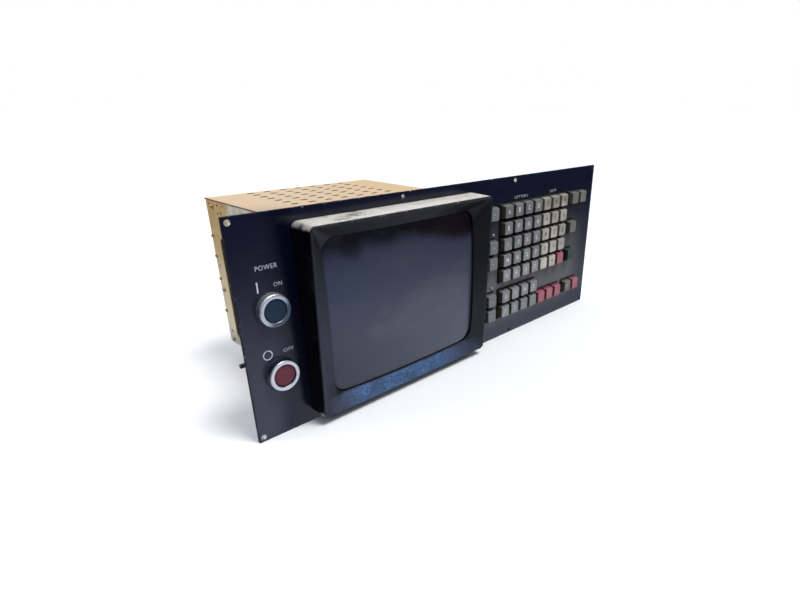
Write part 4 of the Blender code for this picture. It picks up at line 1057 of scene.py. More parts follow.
def yoke_and_neck():
    def bell(r0, y0, r1, y1, steps, bulge):
        return [(r0 + (r1 - r0) * k / steps - bulge * math.sin(math.pi * k / steps), y0 + (y1 - y0) * k / steps) for k in range(steps + 1)]

    c = (SCREEN_CX, 0, SCREEN_CZ)
    # Coil former: a flanged bell with a collar at its rear.
    bm = bmesh.new()
    outside = [(33.5, 84.2), (35.6, 84.2), (36.0, 84.6), (36.0, 86.6), (35.6, 87.0), (31.4, 87.4)]
    outside += bell(30.6, 89.0, 24.2, 108.0, 5, 1.6) + [(23.8, 110.0), (24.8, 111.8), (26.6, 112.0), (27.0, 112.5), (27.0, 117.5), (26.6, 118.0)]
    inside = [(11.9, 118.0), (11.5, 116.5), (11.6, 112.5), (13.2, 106.0), (18.9, 96.2), (26.0, 88.5), (31.8, 85.0)]
    turned(bm, outside + inside, c, "Y", 48, True)
    finish_piece("yoke_former", bm, "former_plastic", replaces="deflection_yoke")

    # Saddle windings, one lobe above and one below, hug the bell.
    bm = bmesh.new()
    for up in (1, -1):
        for k in range(7):
            spread = math.radians(24 + 9.0 * k)
            path = []
            for j in range(17):
                t = j / 16
                y = 88.6 + (109.5 - 88.6) * t
                r = 30.9 + (24.5 - 30.9) * t - 1.6 * math.sin(math.pi * t) + 1.2
                path.append((r, y))
            loop = []
            for r, y in path:
                loop.append((SCREEN_CX + r * math.sin(spread), y, SCREEN_CZ + up * r * math.cos(spread)))
            for m in range(1, 10):
                a = spread - 2 * spread * m / 10
                r, y = path[-1]
                loop.append((SCREEN_CX + r * math.sin(a), y + 0.6, SCREEN_CZ + up * r * math.cos(a)))
            for r, y in path[::-1]:
                loop.append((SCREEN_CX - r * math.sin(spread), y, SCREEN_CZ + up * r * math.cos(spread)))
            for m in range(1, 10):
                a = -spread + 2 * spread * m / 10
                r, y = path[0]
                loop.append((SCREEN_CX + r * math.sin(a), y - 0.4, SCREEN_CZ + up * r * math.cos(a)))
            pts = [Vector(p) for p in loop]
            n = len(pts)
            rings = []
            for i, p in enumerate(pts):
                d = (pts[(i + 1) % n] - pts[i - 1]).normalized()
                out = Vector((p.x - SCREEN_CX, 0, p.z - SCREEN_CZ)).normalized()
                side = d.cross(out).normalized()
                out = side.cross(d).normalized()
                rings.append([tuple(p + (side * math.cos(a) + out * math.sin(a)) * 1.15) for a in [math.tau * q / 6 for q in range(6)]])
            loft(bm, rings, ring=True)
    finish_piece("yoke_windings", bm, "copper_coil", weighted=False)

    # Clamp ring with its screw behind the yoke, and two magnet rings for centring.
    bm = bmesh.new()
    turned(bm, [(10.7, 118.3), (13.4, 118.3), (13.6, 118.6), (13.6, 121.6), (13.4, 122.0), (10.7, 122.0)], c, "Y", 36, True)
    block(bm, SCREEN_CX - 3.2, SCREEN_CX + 3.2, 118.6, 121.8, SCREEN_CZ + 12.4, SCREEN_CZ + 19.0, 0.3)
    turned(bm, [(10.8, 124.0), (16.4, 124.0), (16.4, 125.4), (10.8, 125.4)], c, "Y", 36, True)
    turned(bm, [(10.8, 126.0), (16.4, 126.0), (16.4, 127.4), (10.8, 127.4)], c, "Y", 36, True)
    block(bm, SCREEN_CX + 14.0, SCREEN_CX + 22.5, 124.1, 125.3, SCREEN_CZ - 2.0, SCREEN_CZ + 2.0, 0.3)
    block(bm, SCREEN_CX + 11.0, SCREEN_CX + 19.0, 126.1, 127.3, SCREEN_CZ + 9.0, SCREEN_CZ + 13.0, 0.3)
    finish_piece("neck_rings", bm, "grey_plastic")

    bm = bmesh.new()
    slab(bm, [rounded(rect(SCREEN_CX - 30, SCREEN_CX + 30, SCREEN_CZ - 28, SCREEN_CZ + 28), 2.0, 4)], 168.0, 169.6, "Y", 0.12, 1)
    finish_piece("neck_circuit_board", bm, "board_green", replaces="neck_board")
    bm = bmesh.new()
    turned(bm, [(11.2, 160.6), (12.0, 161.2), (12.0, 167.9), (5.0, 167.9), (5.0, 160.6)], c, "Y", 36, True)
    for k in range(8):
        a = math.tau * (k + 0.5) / 9
        x, z = SCREEN_CX + 7.6 * math.cos(a), SCREEN_CZ + 7.6 * math.sin(a)
        turned(bm, [(1.1, 0.0), (0.8, 0.7), (0.35, 1.5)], (x, 169.6, z), "Y", 10, slot=1)
    for dx, dz, w, h in ((-20, 17, 8, 4), (-6, 20, 9, 4), (15, 17, 12, 6), (19, -14, 7, 10), (-19, -15, 10, 5)):
        block(bm, SCREEN_CX + dx - w / 2, SCREEN_CX + dx + w / 2, 169.6, 173.4, SCREEN_CZ + dz - h / 2, SCREEN_CZ + dz + h / 2, 0.6, slot=2)
    finish_piece("neck_socket_parts", bm, ["former_plastic", "pin_tin", "brown_body"])


# ------------------------------------------------------------------ chassis
def bend(bm, z_low, z_high, corner_x, corner_y, out, sheet=SHEET, radius=1.6, leg=10.0, steps=5, slot=0):
    """The flange at a side plate's front edge: from the plate, round a bend, and out along X."""
    mid = radius + sheet / 2
    line = []
    for k in range(steps + 1):
        a = math.pi / 2 * k / steps
        line.append((mid * (1 - math.cos(a)), mid * (1 - math.sin(a)), math.cos(a), math.sin(a)))
    # (u along the flange from the plate, v back along the plate, normal u, normal v)
    pts = [(0.0, mid + 6.0, 1.0, 0.0)] + line + [(leg, 0.0, 0.0, 1.0)]
    outer_side = [(u - nu * sheet / 2, v - nv * sheet / 2) for u, v, nu, nv in pts]
    inner_side = [(u + nu * sheet / 2, v + nv * sheet / 2) for u, v, nu, nv in pts]
    section = outer_side + inner_side[::-1]
    loops = []
    for z in (z_low, z_high):
        loops.append([(corner_x + out * u, corner_y + sheet / 2 + v, z) for u, v in section])
    loft(bm, loops, slot=slot)


def chassis():
    front, rear_in, top_in = 5.2, REAR - SHEET - 0.3, Z1 - SHEET - 0.3

    side = rounded([(front + 4.0, Z0), (rear_in, Z0), (rear_in, top_in), (front + 4.0, top_in)], 1.2, 3)

    # Left plate.
    loops = [side, round_rect(34.0, 162.0, 32.0, 144.0, 6.0, 8)]
    for y, z, r in (
        (172.6, 36.5, 1.6),
        (155.4, 177.1, 1.3),
        (143.2, 177.4, 1.3),
        (174.4, 177.0, 1.2),
        (156.2, 169.1, 1.5),
        (149.2, 170.0, 1.5),
        (174.0, 112.0, 1.5),
    ):
        loops.append(circle(y, z, r, 16))
    bm = bmesh.new()
    slab(bm, loops, X0, X0 + SHEET, "X", 0.25, 2, hole_slot=0)
    bend(bm, 30.0, 172.0, X0 + SHEET / 2, front + 0.1, -1, leg=11.0)
    finish_piece("left_side_plate", bm, "left_side_steel", replaces="chassis_left_plate")

    # Right plate.
    loops = [side]
    for y, z, r in ((172.0, 36.5, 1.5), (173.7, 85.2, 1.5), (149.4, 169.5, 1.5), (156.0, 169.5, 1.5)):
        loops.append(circle(y, z, r, 16))
    bm = bmesh.new()
    slab(bm, loops, X1 - SHEET, X1, "X", 0.25, 2)
    bend(bm, 30.0, 172.0, X1 - SHEET / 2, front + 0.1, 1, leg=11.0)
    # A pressed stiffening rib along the middle, standing a little proud.
    rib = []
    for d, w in ((0.0, 5.0), (0.5, 4.2), (0.9, 3.0), (1.1, 1.6)):
        rib.append([(X1 - 0.05 + d, y, z) for y, z in round_rect(34.0 - w, 158.0 + w, 98.0 - w, 98.0 + w, w - 0.05, 8)])
    loft(bm, rib)
    finish_piece("right_side_plate", bm, "chromate_steel", replaces="chassis_right_plate")

    # Top cover with its rows of slots.
    loops = [rounded([(X0 - 0.8, front + 0.8), (X1 + 0.8, front + 0.8), (X1 + 0.8, REAR), (X0 - 0.8, REAR)], 1.0, 3)]
    for i in range(7):
        x = VENT_MIDDLE + (i - 3) * VENT_PITCH
        for j in range(10):
            y = 174.0 - j * 15.0
            loops.append(rounded(rect(x - 3.75, x + 3.75, y - 2.0, y + 2.0), 0.9, 2))
    bm = bmesh.new()
    slab(bm, loops, Z1 - SHEET, Z1, "Z", 0.3, 2, hole_slot=1)
    finish_piece("top_cover", bm, ["cover_cream", "slot_edges"], replaces="chassis_top_cover")

    # Bottom plate.
    bm = bmesh.new()
    slab(bm, [rounded([(X0 + 1.5, 34.0), (X1 - 1.5, 34.0), (X1 - 1.5, rear_in), (X0 + 1.5, rear_in)], 1.0, 3)], Z0 + 0.2, Z0 + 0.2 + SHEET, "Z", 0.25, 2)
    finish_piece("bottom_plate", bm, "chromate_steel", replaces="chassis_bottom_plate")

    # Rear plate.
    loops = [rounded(rect(X0 + 0.3, X1 - 0.3, Z0, top_in), 1.0, 3), rounded(rect(-62.6, -19.4, 43.4, 60.6), 0.8, 2)]
    loops += [circle(x, 52.0, 3.0, 28) for x in (-150.0, -134.0, -118.0)]
    bm = bmesh.new()
    slab(bm, loops, REAR - SHEET, REAR, "Y", 0.25, 2)
    finish_piece("rear_plate", bm, "chromate_steel", replaces="chassis_rear_plate")

    # Adjusters behind the three access holes.
    bm = bmesh.new()
    for k, x in enumerate((-150.0, -134.0, -118.0)):
        block(bm, x - 5.0, x + 5.0, 168.0, 173.0, 46.0, 58.0, 0.5, slot=0)
        turned(bm, [(2.9, 0.0), (2.9, 2.2), (2.6, 2.5)], (x, 173.0, 52.0), "Y", 20, slot=1)
        block(bm, x - 2.2, x + 2.2, 175.3, 175.9, 51.7, 52.3, 0.1, slot=0)
    finish_piece("adjusters", bm, ["black_plastic", "connector_ivory"])

    # Screws: rows along the rear and top edges of both side plates, and on the rear plate.
    bm = bmesh.new()
    for i, (y, z, r) in enumerate(((166.3, 174.8, 2.3), (173.7, 85.2, 2.6), (172.8, 26.5, 2.4), (60.0, 175.6, 2.3))):
        screw(bm, (X0, y, z), "X", -1, r, 1.7, turn=i * 0.9)
    for i, z in enumerate((143.7, 122.0, 96.9, 60.0)):
        screw(bm, (X0, 177.6, z), "X", -1, 1.9, 1.5, turn=i * 0.7)
    for i, (y, z) in enumerate(((166.3, 175.2), (60.0, 175.2), (172.6, 60.0), (172.6, 140.0), (60.0, 28.0), (150.0, 28.0))):
        screw(bm, (X1, y, z), "X", 1, 2.6, 1.7, turn=i * 1.1)
    for i, (x, z) in enumerate(((-190.0, 30.0), (-190.0, 170.0), (-1.5, 30.0), (-1.5, 170.0), (-96.0, 30.0), (-96.0, 170.0))):
        screw(bm, (x, REAR, z), "Y", 1, 2.6, 1.7, turn=i * 0.8 + 0.3)
    finish_piece("chassis_screws", bm, "screw_yellow")

    # Signal connector: a shrouded pin header that looks out of the rear plate.
    bm = bmesh.new()
    x0, x1, z0, z1, y0, y1 = -62.0, -20.0, 44.0, 60.0, 172.0, 189.0
    wall, floor = 1.6, 178.0
    outline = rounded(rect(x0, x1, z0, z1), 1.0, 3)
    well = rounded(rect(x0 + wall, x1 - wall, z0 + wall, z1 - wall), 0.6, 3)
    rows = [
        [(a, y0, b) for a, b in inset(outline, 0.3)],
        [(a, y0 + 0.3, b) for a, b in outline],
        [(a, y1 - 0.3, b) for a, b in outline],
        [(a, y1, b) for a, b in inset(outline, 0.3)],
        [(a, y1, b) for a, b in inset(well, -0.2)],
        [(a, y1 - 0.3, b) for a, b in well],
        [(a, floor, b) for a, b in well],
    ]
    loft(bm, rows)
    for sx in (0, 1):
        ear = rect(x0 - 6, x0, 44.5, 59.5) if sx == 0 else rect(x1, x1 + 6, 44.5, 59.5)
        hole = (x0 - 3.1) if sx == 0 else (x1 + 3.1)
        slab(bm, [rounded(ear, 0.9, 3), circle(hole, 52.0, 1.6, 18)], 181.5, 184.0, "Y", 0.25, 2)
    for row in range(2):
        for k in range(10):
            x = x0 + 5.0 + k * 3.55
            z = 49.4 + row * 5.2
            block(bm, x - 0.45, x + 0.45, floor - 0.5, 186.4, z - 0.45, z + 0.45, 0.15, slot=1, steps=1)
    screw(bm, (x0 - 3.1, 184.0, 52.0), "Y", 1, 2.4, 1.6, slot=2, kind="slot", turn=0.5)
    screw(bm, (x1 + 3.1, 184.0, 52.0), "Y", 1, 2.4, 1.6, slot=2, kind="slot", turn=1.2)
    finish_piece("signal_socket", bm, ["connector_ivory", "brass", "screw_steel"], replaces="signal_connector")


def deflection_board():
    bm = bmesh.new()
    slab(bm, [rounded([(-186.0, 62.0), (-14.0, 62.0), (-14.0, 166.0), (-186.0, 166.0)], 1.5, 3)], 30.0, 31.6, "Z", 0.12, 1)
    finish_piece("deflection_circuit_board", bm, "board_green", replaces="deflection_board")

    bm = bmesh.new()
    # Heat sink with vertical fins and two power transistors.
    block(bm, -178.0, -175.6, 72.0, 150.0, 31.6, 58.0, 0.3, slot=0)
    for k in range(10):
        y = 74.0 + k * 8.2
        block(bm, -175.8, -170.2, y, y + 1.3, 31.6, 57.6, 0.25, slot=0, steps=1)
    for y in (88.0, 128.0):
        block(bm, -183.0, -178.0, y - 8.0, y + 8.0, 36.0, 56.0, 0.6, slot=1)
        screw(bm, (-183.0, y, 51.5), "X", -1, 1.8, 1.2, slot=2)
    # Capacitors with sleeves and crimped tops.
    for x, y, r, top, slot in ((-150, 84, 8, 54, 3), (-128, 84, 6, 50, 3), (-150, 110, 6, 46, 1), (-120, 150, 9, 52, 3), (-104, 92, 4, 43, 1), (-92, 104, 4, 43, 1)):
        h = top - 31.6
        turned(bm, [(r - 0.6, 0.0), (r, 0.5), (r, 1.6), (r - 0.5, 2.2), (r, 2.9), (r, h - 0.9), (r - 0.3, h - 0.3), (r - 0.9, h)], (x, y, 31.6), "Z", 28, slot=slot)
        turned(bm, [(r - 1.1, h - 0.4), (r - 1.1, h + 0.12), (r - 1.5, h - 0.15)], (x, y, 31.6), "Z", 24, slot=2)
    # A drive transformer and a block of film capacitors.
    block(bm, -100.0, -70.0, 128.0, 150.0, 31.6, 50.0, 1.0, slot=1)
    block(bm, -96.0, -74.0, 124.6, 153.4, 34.0, 47.0, 1.4, slot=6)
    for k in range(4):
        block(bm, -86.0 + k * 9.0, -79.6 + k * 9.0, 68.0, 82.0, 31.6, 42.0, 1.1, slot=5)
    # Resistors on their leads.
    for k in range(9):
        x = -134.0 + k * 7.4
        turned(bm, [(0.35, -7.0), (0.35, -4.4), (1.3, -4.2), (1.75, -3.4), (1.5, -2.2), (1.5, 2.2), (1.75, 3.4), (1.3, 4.2), (0.35, 4.4), (0.35, 7.0)], (x, 118.0, 34.0), "Y", 14, slot=5)
        for s in (-6.8, 6.8):
            block(bm, x - 0.3, x + 0.3, 118.0 + s - 0.3, 118.0 + s + 0.3, 31.4, 34.2, 0.1, slot=2, steps=1)
    # Two dual-in-line packages.
    for x, y in ((-66.0, 98.0), (-66.0, 112.0)):
        block(bm, x - 10.0, x + 10.0, y - 3.3, y + 3.3, 33.0, 36.6, 0.5, slot=1)
        for k in range(8):
            for s in (-1, 1):
                block(bm, x - 9.2 + k * 2.54, x - 8.6 + k * 2.54, y + s * 3.9 - 0.25, y + s * 3.9 + 0.25, 31.5, 35.2, 0.08, slot=2, steps=1)
    # Spacers under the board and the screws above them.
    for x, y in ((-182, 66), (-18, 66), (-182, 162), (-18, 162)):
        turned(bm, [(3.0, 24.1), (3.0, 30.0)], (x, y, 0), "Z", 20, slot=4)
        screw(bm, (x, y, 31.6), "Z", 1, 2.6, 1.7, slot=2)
    finish_piece("board_components", bm, ["heat_sink", "black_plastic", "pin_tin", "blue_can", "connector_ivory", "brown_body", "copper_coil"])

    # Line transformer: a potted core with its ribbed winding on top.
    bm = bmesh.new()
    block(bm, -52.0, -22.0, 108.0, 138.0, 31.9, 60.0, 1.2, slot=0)
    ribs = [(12.2, 59.5), (12.5, 60.5)]
    for k in range(5):
        a = 61.0 + k * 2.7
        ribs += [(12.5, a), (12.5, a + 1.5), (11.4, a + 1.8), (11.4, a + 2.4)]
    ribs += [(12.5, 74.8), (11.8, 75.8), (10.8, 76.0)]
    turned(bm, ribs, (-37.0, 123.0, 0), "Z", 40, slot=0)
    # Ferrite limb round one side.
    block(bm, -58.0, -52.3, 116.0, 130.0, 36.0, 56.0, 0.8, slot=1)
    finish_piece("line_transformer", bm, ["black_plastic", "heat_sink"], replaces="flyback_transformer")


# ------------------------------------------------------------------ push buttons
def push_button(label, z, cap):
    at = (BUTTON_X, 0, z)
    bm = bmesh.new()
    profile = [
        (10.1, 18.0),
        (10.95, 18.0),
        (10.95, 7.7),
        (10.95, -0.3),
        (14.3, -0.3),
        (14.5, -0.5),
        (14.5, -0.95),
        (14.42, -1.1),
        (14.36, -1.25),
        (14.08, -5.4),
        (14.0, -5.9),
        (13.85, -6.35),
        (13.6, -6.7),
        (13.3, -6.88),
        (12.9, -6.93),
        (10.9, -6.9),
        (10.55, -6.85),
        (10.35, -6.72),
        (10.2, -6.5),
        (10.1, -6.1),
        (10.1, 0.0),
    ]
    turned(bm, profile, at, "Y", 72, True)
    for face in bm.faces:
        if all(v.co.y > -1.2 for v in face.verts):
            face.material_index = 1
    finish_piece(f"{label}_collar", bm, ["chrome", "black_plastic"], replaces=f"{label}_button_ring", angle=30)

    # A thin rubber seal between the collar and the plate.
    bm = bmesh.new()
    turned(bm, [(14.3, -0.02), (14.85, -0.02), (14.95, -0.22), (14.8, -0.45), (14.3, -0.45)], at, "Y", 56, True)
    finish_piece(f"{label}_seal", bm, "black_plastic")

    # The cap, slightly crowned, with a fine step round its face.
    bm = bmesh.new()
    profile = [
        (0.05, -6.40),
        (3.0, -6.38),
        (6.0, -6.30),
        (7.8, -6.20),
        (8.6, -6.12),
        (8.85, -5.98),
        (9.2, -5.96),
        (9.5, -5.75),
        (9.75, -5.3),
        (9.8, -4.7),
        (9.8, 6.0),
        (4.0, 6.0),
        (4.0, 13.4),
        (3.6, 13.4),
    ]
    turned(bm, profile, at, "Y", 56)
    finish_piece(f"{label}_cap", bm, cap, body=f"{label}_cap", replaces=f"{label}_button_cap", angle=40)

    # Knurled lock nut behind the plate.
    bm = bmesh.new()
    outline = []
    for k in range(96):
        r = 14.8 if k % 4 in (0, 1) else 14.35
        a = math.tau * k / 96
        outline.append((BUTTON_X + r * math.cos(a), z + r * math.sin(a)))
    slab(bm, [outline, circle(BUTTON_X, z, 11.25, 48)], 3.3, 7.5, "Y", 0.25, 2)
    finish_piece(f"{label}_nut", bm, "band_steel", replaces=f"{label}_button_locknut", angle=25)

    # Contact block: moulded body, coupling plate, and four screw terminals with clamps.
    bm = bmesh.new()
    x = BUTTON_X
    block(bm, x - 14, x + 14, 21.4, 33.5, z - 19, z + 19, 0.8, slot=0)
    block(bm, x - 13.4, x + 13.4, 18.3, 21.3, z - 14.5, z + 14.5, 0.5, slot=1)
    block(bm, x - 1.0, x + 1.0, 33.2, 34.6, z - 17.5, z + 17.5, 0.4, slot=0)
    block(bm, x - 5.0, x + 5.0, 33.2, 34.2, z - 6.0, z + 6.0, 0.5, slot=0)
    for s in (-1, 1):
        # Ribs along both sides of the body.
        for k in range(3):
            block(bm, x + s * 14.0 - 0.35, x + s * 14.0 + 0.35, 23.2 + k * 3.0, 24.4 + k * 3.0, z - 15.0, z + 15.0, 0.25, slot=0, steps=1)
    for dx in (-7.0, 7.0):
        for dz in (-15.0, 15.0):
            block(bm, x + dx - 3.2, x + dx + 3.2, 33.0, 34.1, z + dz - 2.6, z + dz + 2.6, 0.25, slot=2)
            screw(bm, (x + dx, 34.0, z + dz), "Y", 1, 2.3, 1.5, slot=3, kind="slot", turn=dx + dz)
    if label == "off":
        block(bm, x - 21.6, x - 13.6, 29.6, 32.8, z + 1.5, z + 4.7, 0.3, slot=1)
    finish_piece(f"{label}_contacts", bm, ["connector_ivory", "black_plastic", "brass", "screw_steel"], replaces=f"{label}_contact_block")


# ------------------------------------------------------------------ keypad
BODIES = {
    "bank_page": [(3, 0), (4, 0)],
    "bank_mode": [(6, 0), (7, 0)],
    "bank_letters_1": [(r, 1) for r in (1, 2, 3, 4, 5)],
    "bank_letters_2": [(r, 2) for r in (1, 2, 3, 4, 5)],
    "bank_letters_3": [(r, 3) for r in (1, 2, 3, 4, 5)],
    "bank_letters_4": [(r, 4) for r in (1, 2, 3, 4, 5)],
    "bank_edit_1": [(6, c) for c in (1, 2, 3, 4)],
    "bank_edit_2": [(7, c) for c in (1, 2, 3, 4)],
    "reset": [(1, 0)],
}
NODES = {name: "key_" + name for name in BODIES}
for row in (1, 2, 3, 4, 5):
    for column in (5, 6, 7):
        BODIES[f"number_r{row}c{column}"] = [(row, column)]
        NODES[f"number_r{row}c{column}"] = f"key_number_r{row}c{column}"
for row, column in ((1, 8), (1, 9), (3, 8), (5, 8)):
    BODIES[f"side_r{row}c{column}"] = [(row, column)]
    NODES[f"side_r{row}c{column}"] = f"key_side_r{row}c{column}"
for column in (5, 6, 7, 8, 9):
    BODIES[f"function_r7c{column}"] = [(7, column)]
    NODES[f"function_r7c{column}"] = f"key_function_r7c{column}"

LEGENDS = {(r, 5): t for r, t in zip((1, 2, 3, 4), "7410")}
LEGENDS.update({(r, 6): t for r, t in zip((1, 2, 3, 4), "852-")})
LEGENDS.update({(r, 7): t for r, t in zip((1, 2, 3, 4), "963+")})
LEGENDS.update({(5, 5): ".", (5, 6): "="})
for i, key in enumerate([(r, c) for r in (1, 2, 3, 4, 5) for c in (1, 2, 3, 4)]):
    LEGENDS[key] = "ABCDEFGHIJKLMNOPQRST"[i]
for i, key in enumerate([(6, 1), (6, 2), (6, 3), (6, 4), (7, 1), (7, 2)]):
    LEGENDS[key] = "UVWXYZ"[i]


def key_finish(key):
    if key == (5, 7) or key in ((7, 5), (7, 6), (7, 7), (7, 9)):
        return "key_red"
    if key == (5, 8):
        return "key_green"
    if key in ((1, 8), (1, 9)):
        return "key_brown"
    if key in ((3, 8), (7, 8)):
        return "key_olive"
    if key[1] in (5, 6, 7) and key[0] <= 5:
        return "key_warm"
    return "key_pale" if key[1] == 0 else "key_grey"


def dish(dx, dz):
    """How far the cap's face is hollowed at a distance from its middle, mm."""
    r = min(1.0, math.hypot(dx, dz) / 6.6)
    return 0.5 * (1 - r * r) ** 1.5 if r < 1 else 0.0


def square(cx, cz, half, r, y, side=3):
    return [(x, y, z) for x, z in round_rect(cx - half, cx + half, cz - half, cz + half, r, 5, side)]


def keycap(key):
    x, z = key_at(key)
    bm = bmesh.new()
    loops = [
        square(x, z, 3.0, 0.5, 12.4),
        square(x, z, 3.0, 0.5, KEY_BACK),
        square(x, z, 8.2, 0.7, KEY_BACK),
        square(x, z, KEY_BASE, 0.8, KEY_BACK - 0.25),
        square(x, z, KEY_BASE, 0.8, -0.5),
    ]
    steps = 4
    for k in range(1, steps + 1):
        t = k / steps
        half = KEY_BASE + (KEY_FACE + 0.28 - KEY_BASE) * (t + 0.10 * math.sin(math.pi * t))
        loops.append(square(x, z, half, 0.9 + 0.6 * t, -0.5 + (-KEY_HEIGHT + 0.75 + 0.5) * t))
    for k in (1, 2, 3):
        a = math.pi / 2 * k / 3
        loops.append(square(x, z, KEY_FACE + 0.28 - 0.75 * (1 - math.cos(a)), 1.5, -KEY_HEIGHT + 0.75 - 0.72 * math.sin(a)))
    for s in (5.9, 5.2, 4.3, 3.2, 2.0, 0.9):
        loops.append([(px, -KEY_HEIGHT + 0.03 + dish(px - x, pz - z), pz) for px, _, pz in square(x, z, s, min(1.5, s * 0.4), 0)])
    loft(bm, loops)
    materials = [key_finish(key)]
    if key in LEGENDS:
        text = LEGENDS[key]
        w, h = {"I": (0.9, 5.4), "1": (2.1, 5.4), "-": (3.4, 0.9), "+": (3.8, 3.8), ".": (1.3, 1.3), "=": (3.6, 2.4), "M": (4.4, 5.4), "W": (5.2, 5.4), "J": (2.6, 5.4)}.get(text, (3.7, 5.4))
        cx, cz = x + 0.2, z + 0.3
        surface = lambda px, pz: -KEY_HEIGHT + 0.03 + dish(px - x, pz - z)
        merge(bm, lettering(text, cx - w / 2, cx + w / 2, cz - h / 2, cz + h / 2, surface, 0.05, bold=0.018), 1)
        materials.append("ink_dark" if key_finish(key) == "key_warm" else "ink_key")
    elif key in ((7, 3), (7, 4), (3, 0), (4, 0), (6, 0), (7, 0), (1, 0), (7, 8)):
        # A short bar, the plainest mark.
        surface = lambda px, pz: -KEY_HEIGHT + 0.03 + dish(px - x, pz - z)
        bar = bmesh.new()
        wide = 2.2 + 0.9 * ((key[0] * 3 + key[1]) % 3)
        slab(bar, [rect(x - wide / 2, x + wide / 2, z - 0.35, z + 0.35)], -0.05, 0.05, "Y", 0.0)
        for v in bar.verts:
            v.co.y += surface(v.co.x, v.co.z)
        merge(bm, bar, 1)
        materials.append("ink_key")
    return bm, materials


def keypad():
    for body, keys in BODIES.items():
        for i, key in enumerate(keys):
            bm, materials = keycap(key)
            finish_piece(
                f"keycap_r{key[0]}c{key[1]}",
                bm,
                materials,
                body=body,
                replaces=NODES[body] if i == 0 else (),
                angle=42,
            )

    # Deck of switch housings: a plate with a collar round each stem, and posts to the front plate.
    keys = [k for group in BODIES.values() for k in group]
    x0, x1, z0, z1 = 28.5, 238.5, 21.0, 173.0
    loops = [rounded(rect(x0, x1, z0, z1), 1.2, 3)]
    loops += [rounded(rect(x - 3.4, x + 3.4, z - 3.4, z + 3.4), 0.4, 2) for x, z in map(key_at, keys)]
    bm = bmesh.new()
    slab(bm, loops, 10.0, 16.0, "Y", 0.4, 2)
    for x, z in map(key_at, keys):
        rows = []
        for half, r, y in ((7.6, 0.6, 10.2), (7.6, 0.6, 7.6), (7.3, 0.6, 7.2), (4.0, 0.5, 7.2), (3.5, 0.5, 7.6), (3.5, 0.5, 10.2)):
            rows.append(square(x, z, half, r, y, 0))
        loft(bm, rows, ring=True)
    for x, z in ((54.8, 157.4), (54.8, 82.0), (54.8, 32.0), (216.0, 138.4), (194.8, 103.0), (230.0, 58.0)):
        turned(bm, [(2.6, 3.3), (2.6, 10.2)], (x, 0, z), "Y", 20)
    block(bm, x0 + 0.3, x0 + 2.3, 3.3, 10.3, z0 + 0.4, z1 - 0.4, 0.3)
    for low, high in ((22.0, 48.0), (145.0, 172.0)):
        block(bm, x1 - 2.0, x1 - 0.2, 3.3, 10.3, low, high, 0.3)
    block(bm, x0 + 0.6, x1 - 0.6, 3.3, 10.3, z0 + 0.1, z0 + 1.2, 0.2)
    finish_piece("switch_housings", bm, "black_plastic", replaces="switch_deck")

    # Keyboard circuit board with its solder joints, diodes and two packages on the rear side.
    b0, b1 = 16.3, 17.9
    bm = bmesh.new()
    slab(bm, [rounded(rect(x0 + 1, x1 - 1, z0 + 1, z1 - 1), 1.5, 3)], b0, b1, "Y", 0.12, 1)
    finish_piece("keyboard_circuit_board", bm, "board_green", replaces="keyboard_board")
    bm = bmesh.new()
    for x, z in map(key_at, keys):
        for dx, dz in ((-2.54, 3.8), (3.81, 2.54)):
            turned(bm, [(1.15, 0.0), (0.95, 0.35), (0.45, 0.8), (0.3, 1.5)], (x + dx, b1, z + dz), "Y", 10, slot=0)
        turned(bm, [(0.9, -2.0), (0.9, 2.0)], (x - 5.2, b1 + 1.1, z - 3.0), "Z", 10, slot=1)
        block(bm, x - 5.4, x - 5.0, b1 - 0.1, b1 + 1.3, z - 5.6, z - 5.1, 0.1, slot=0, steps=1)
        block(bm, x - 5.4, x - 5.0, b1 - 0.1, b1 + 1.3, z - 0.9, z - 0.4, 0.1, slot=0, steps=1)
    for x, z in ((60.0, 68.0), (96.0, 68.0), (128.0, 68.0)):
        block(bm, x - 10.0, x + 10.0, b1 + 1.0, b1 + 4.4, z - 3.3, z + 3.3, 0.5, slot=2)
        for k in range(8):
            for s in (-1, 1):
                block(bm, x - 9.2 + k * 2.54, x - 8.6 + k * 2.54, b1 - 0.1, b1 + 3.0, z + s * 3.9 - 0.25, z + s * 3.9 + 0.25, 0.08, slot=0, steps=1)
    for i, (x, z) in enumerate(((36.0, 163.5), (233.5, 163.5), (36.0, 71.0), (233.5, 30.0), (36.0, 30.0), (233.5, 71.0))):
        screw(bm, (x, b1, z), "Y", 1, 2.6, 1.7, slot=0, turn=i)
    finish_piece("keyboard_components", bm, ["pin_tin", "brown_body", "black_plastic"])

    # Keyboard connector: a boxed header with two rows of pins.
    bm = bmesh.new()
    x0, x1, z0, z1, y0, y1 = 150.0, 200.0, 60.0, 68.0, 18.2, 27.2
    outline = rounded(rect(x0, x1, z0, z1), 0.6, 2)
    well = rounded(rect(x0 + 1.2, x1 - 1.2, z0 + 1.2, z1 - 1.2), 0.4, 2)
    loft(
        bm,
        [
            [(a, y0, b) for a, b in inset(outline, 0.2)],
            [(a, y0 + 0.2, b) for a, b in outline],
            [(a, y1 - 0.25, b) for a, b in outline],
            [(a, y1, b) for a, b in inset(outline, 0.25)],
            [(a, y1, b) for a, b in inset(well, -0.15)],
            [(a, y1 - 0.2, b) for a, b in well],
            [(a, y0 + 2.0, b) for a, b in well],
        ],
    )
    for row in range(2):
        for k in range(17):
            x, z = x0 + 4.7 + k * 2.54, 62.7 + row * 2.6
            block(bm, x - 0.32, x + 0.32, y0 + 1.8, y1 - 1.5, z - 0.32, z + 0.32, 0.1, slot=1, steps=1)
    finish_piece("keyboard_header", bm, ["connector_ivory", "brass"], replaces="keyboard_connector")

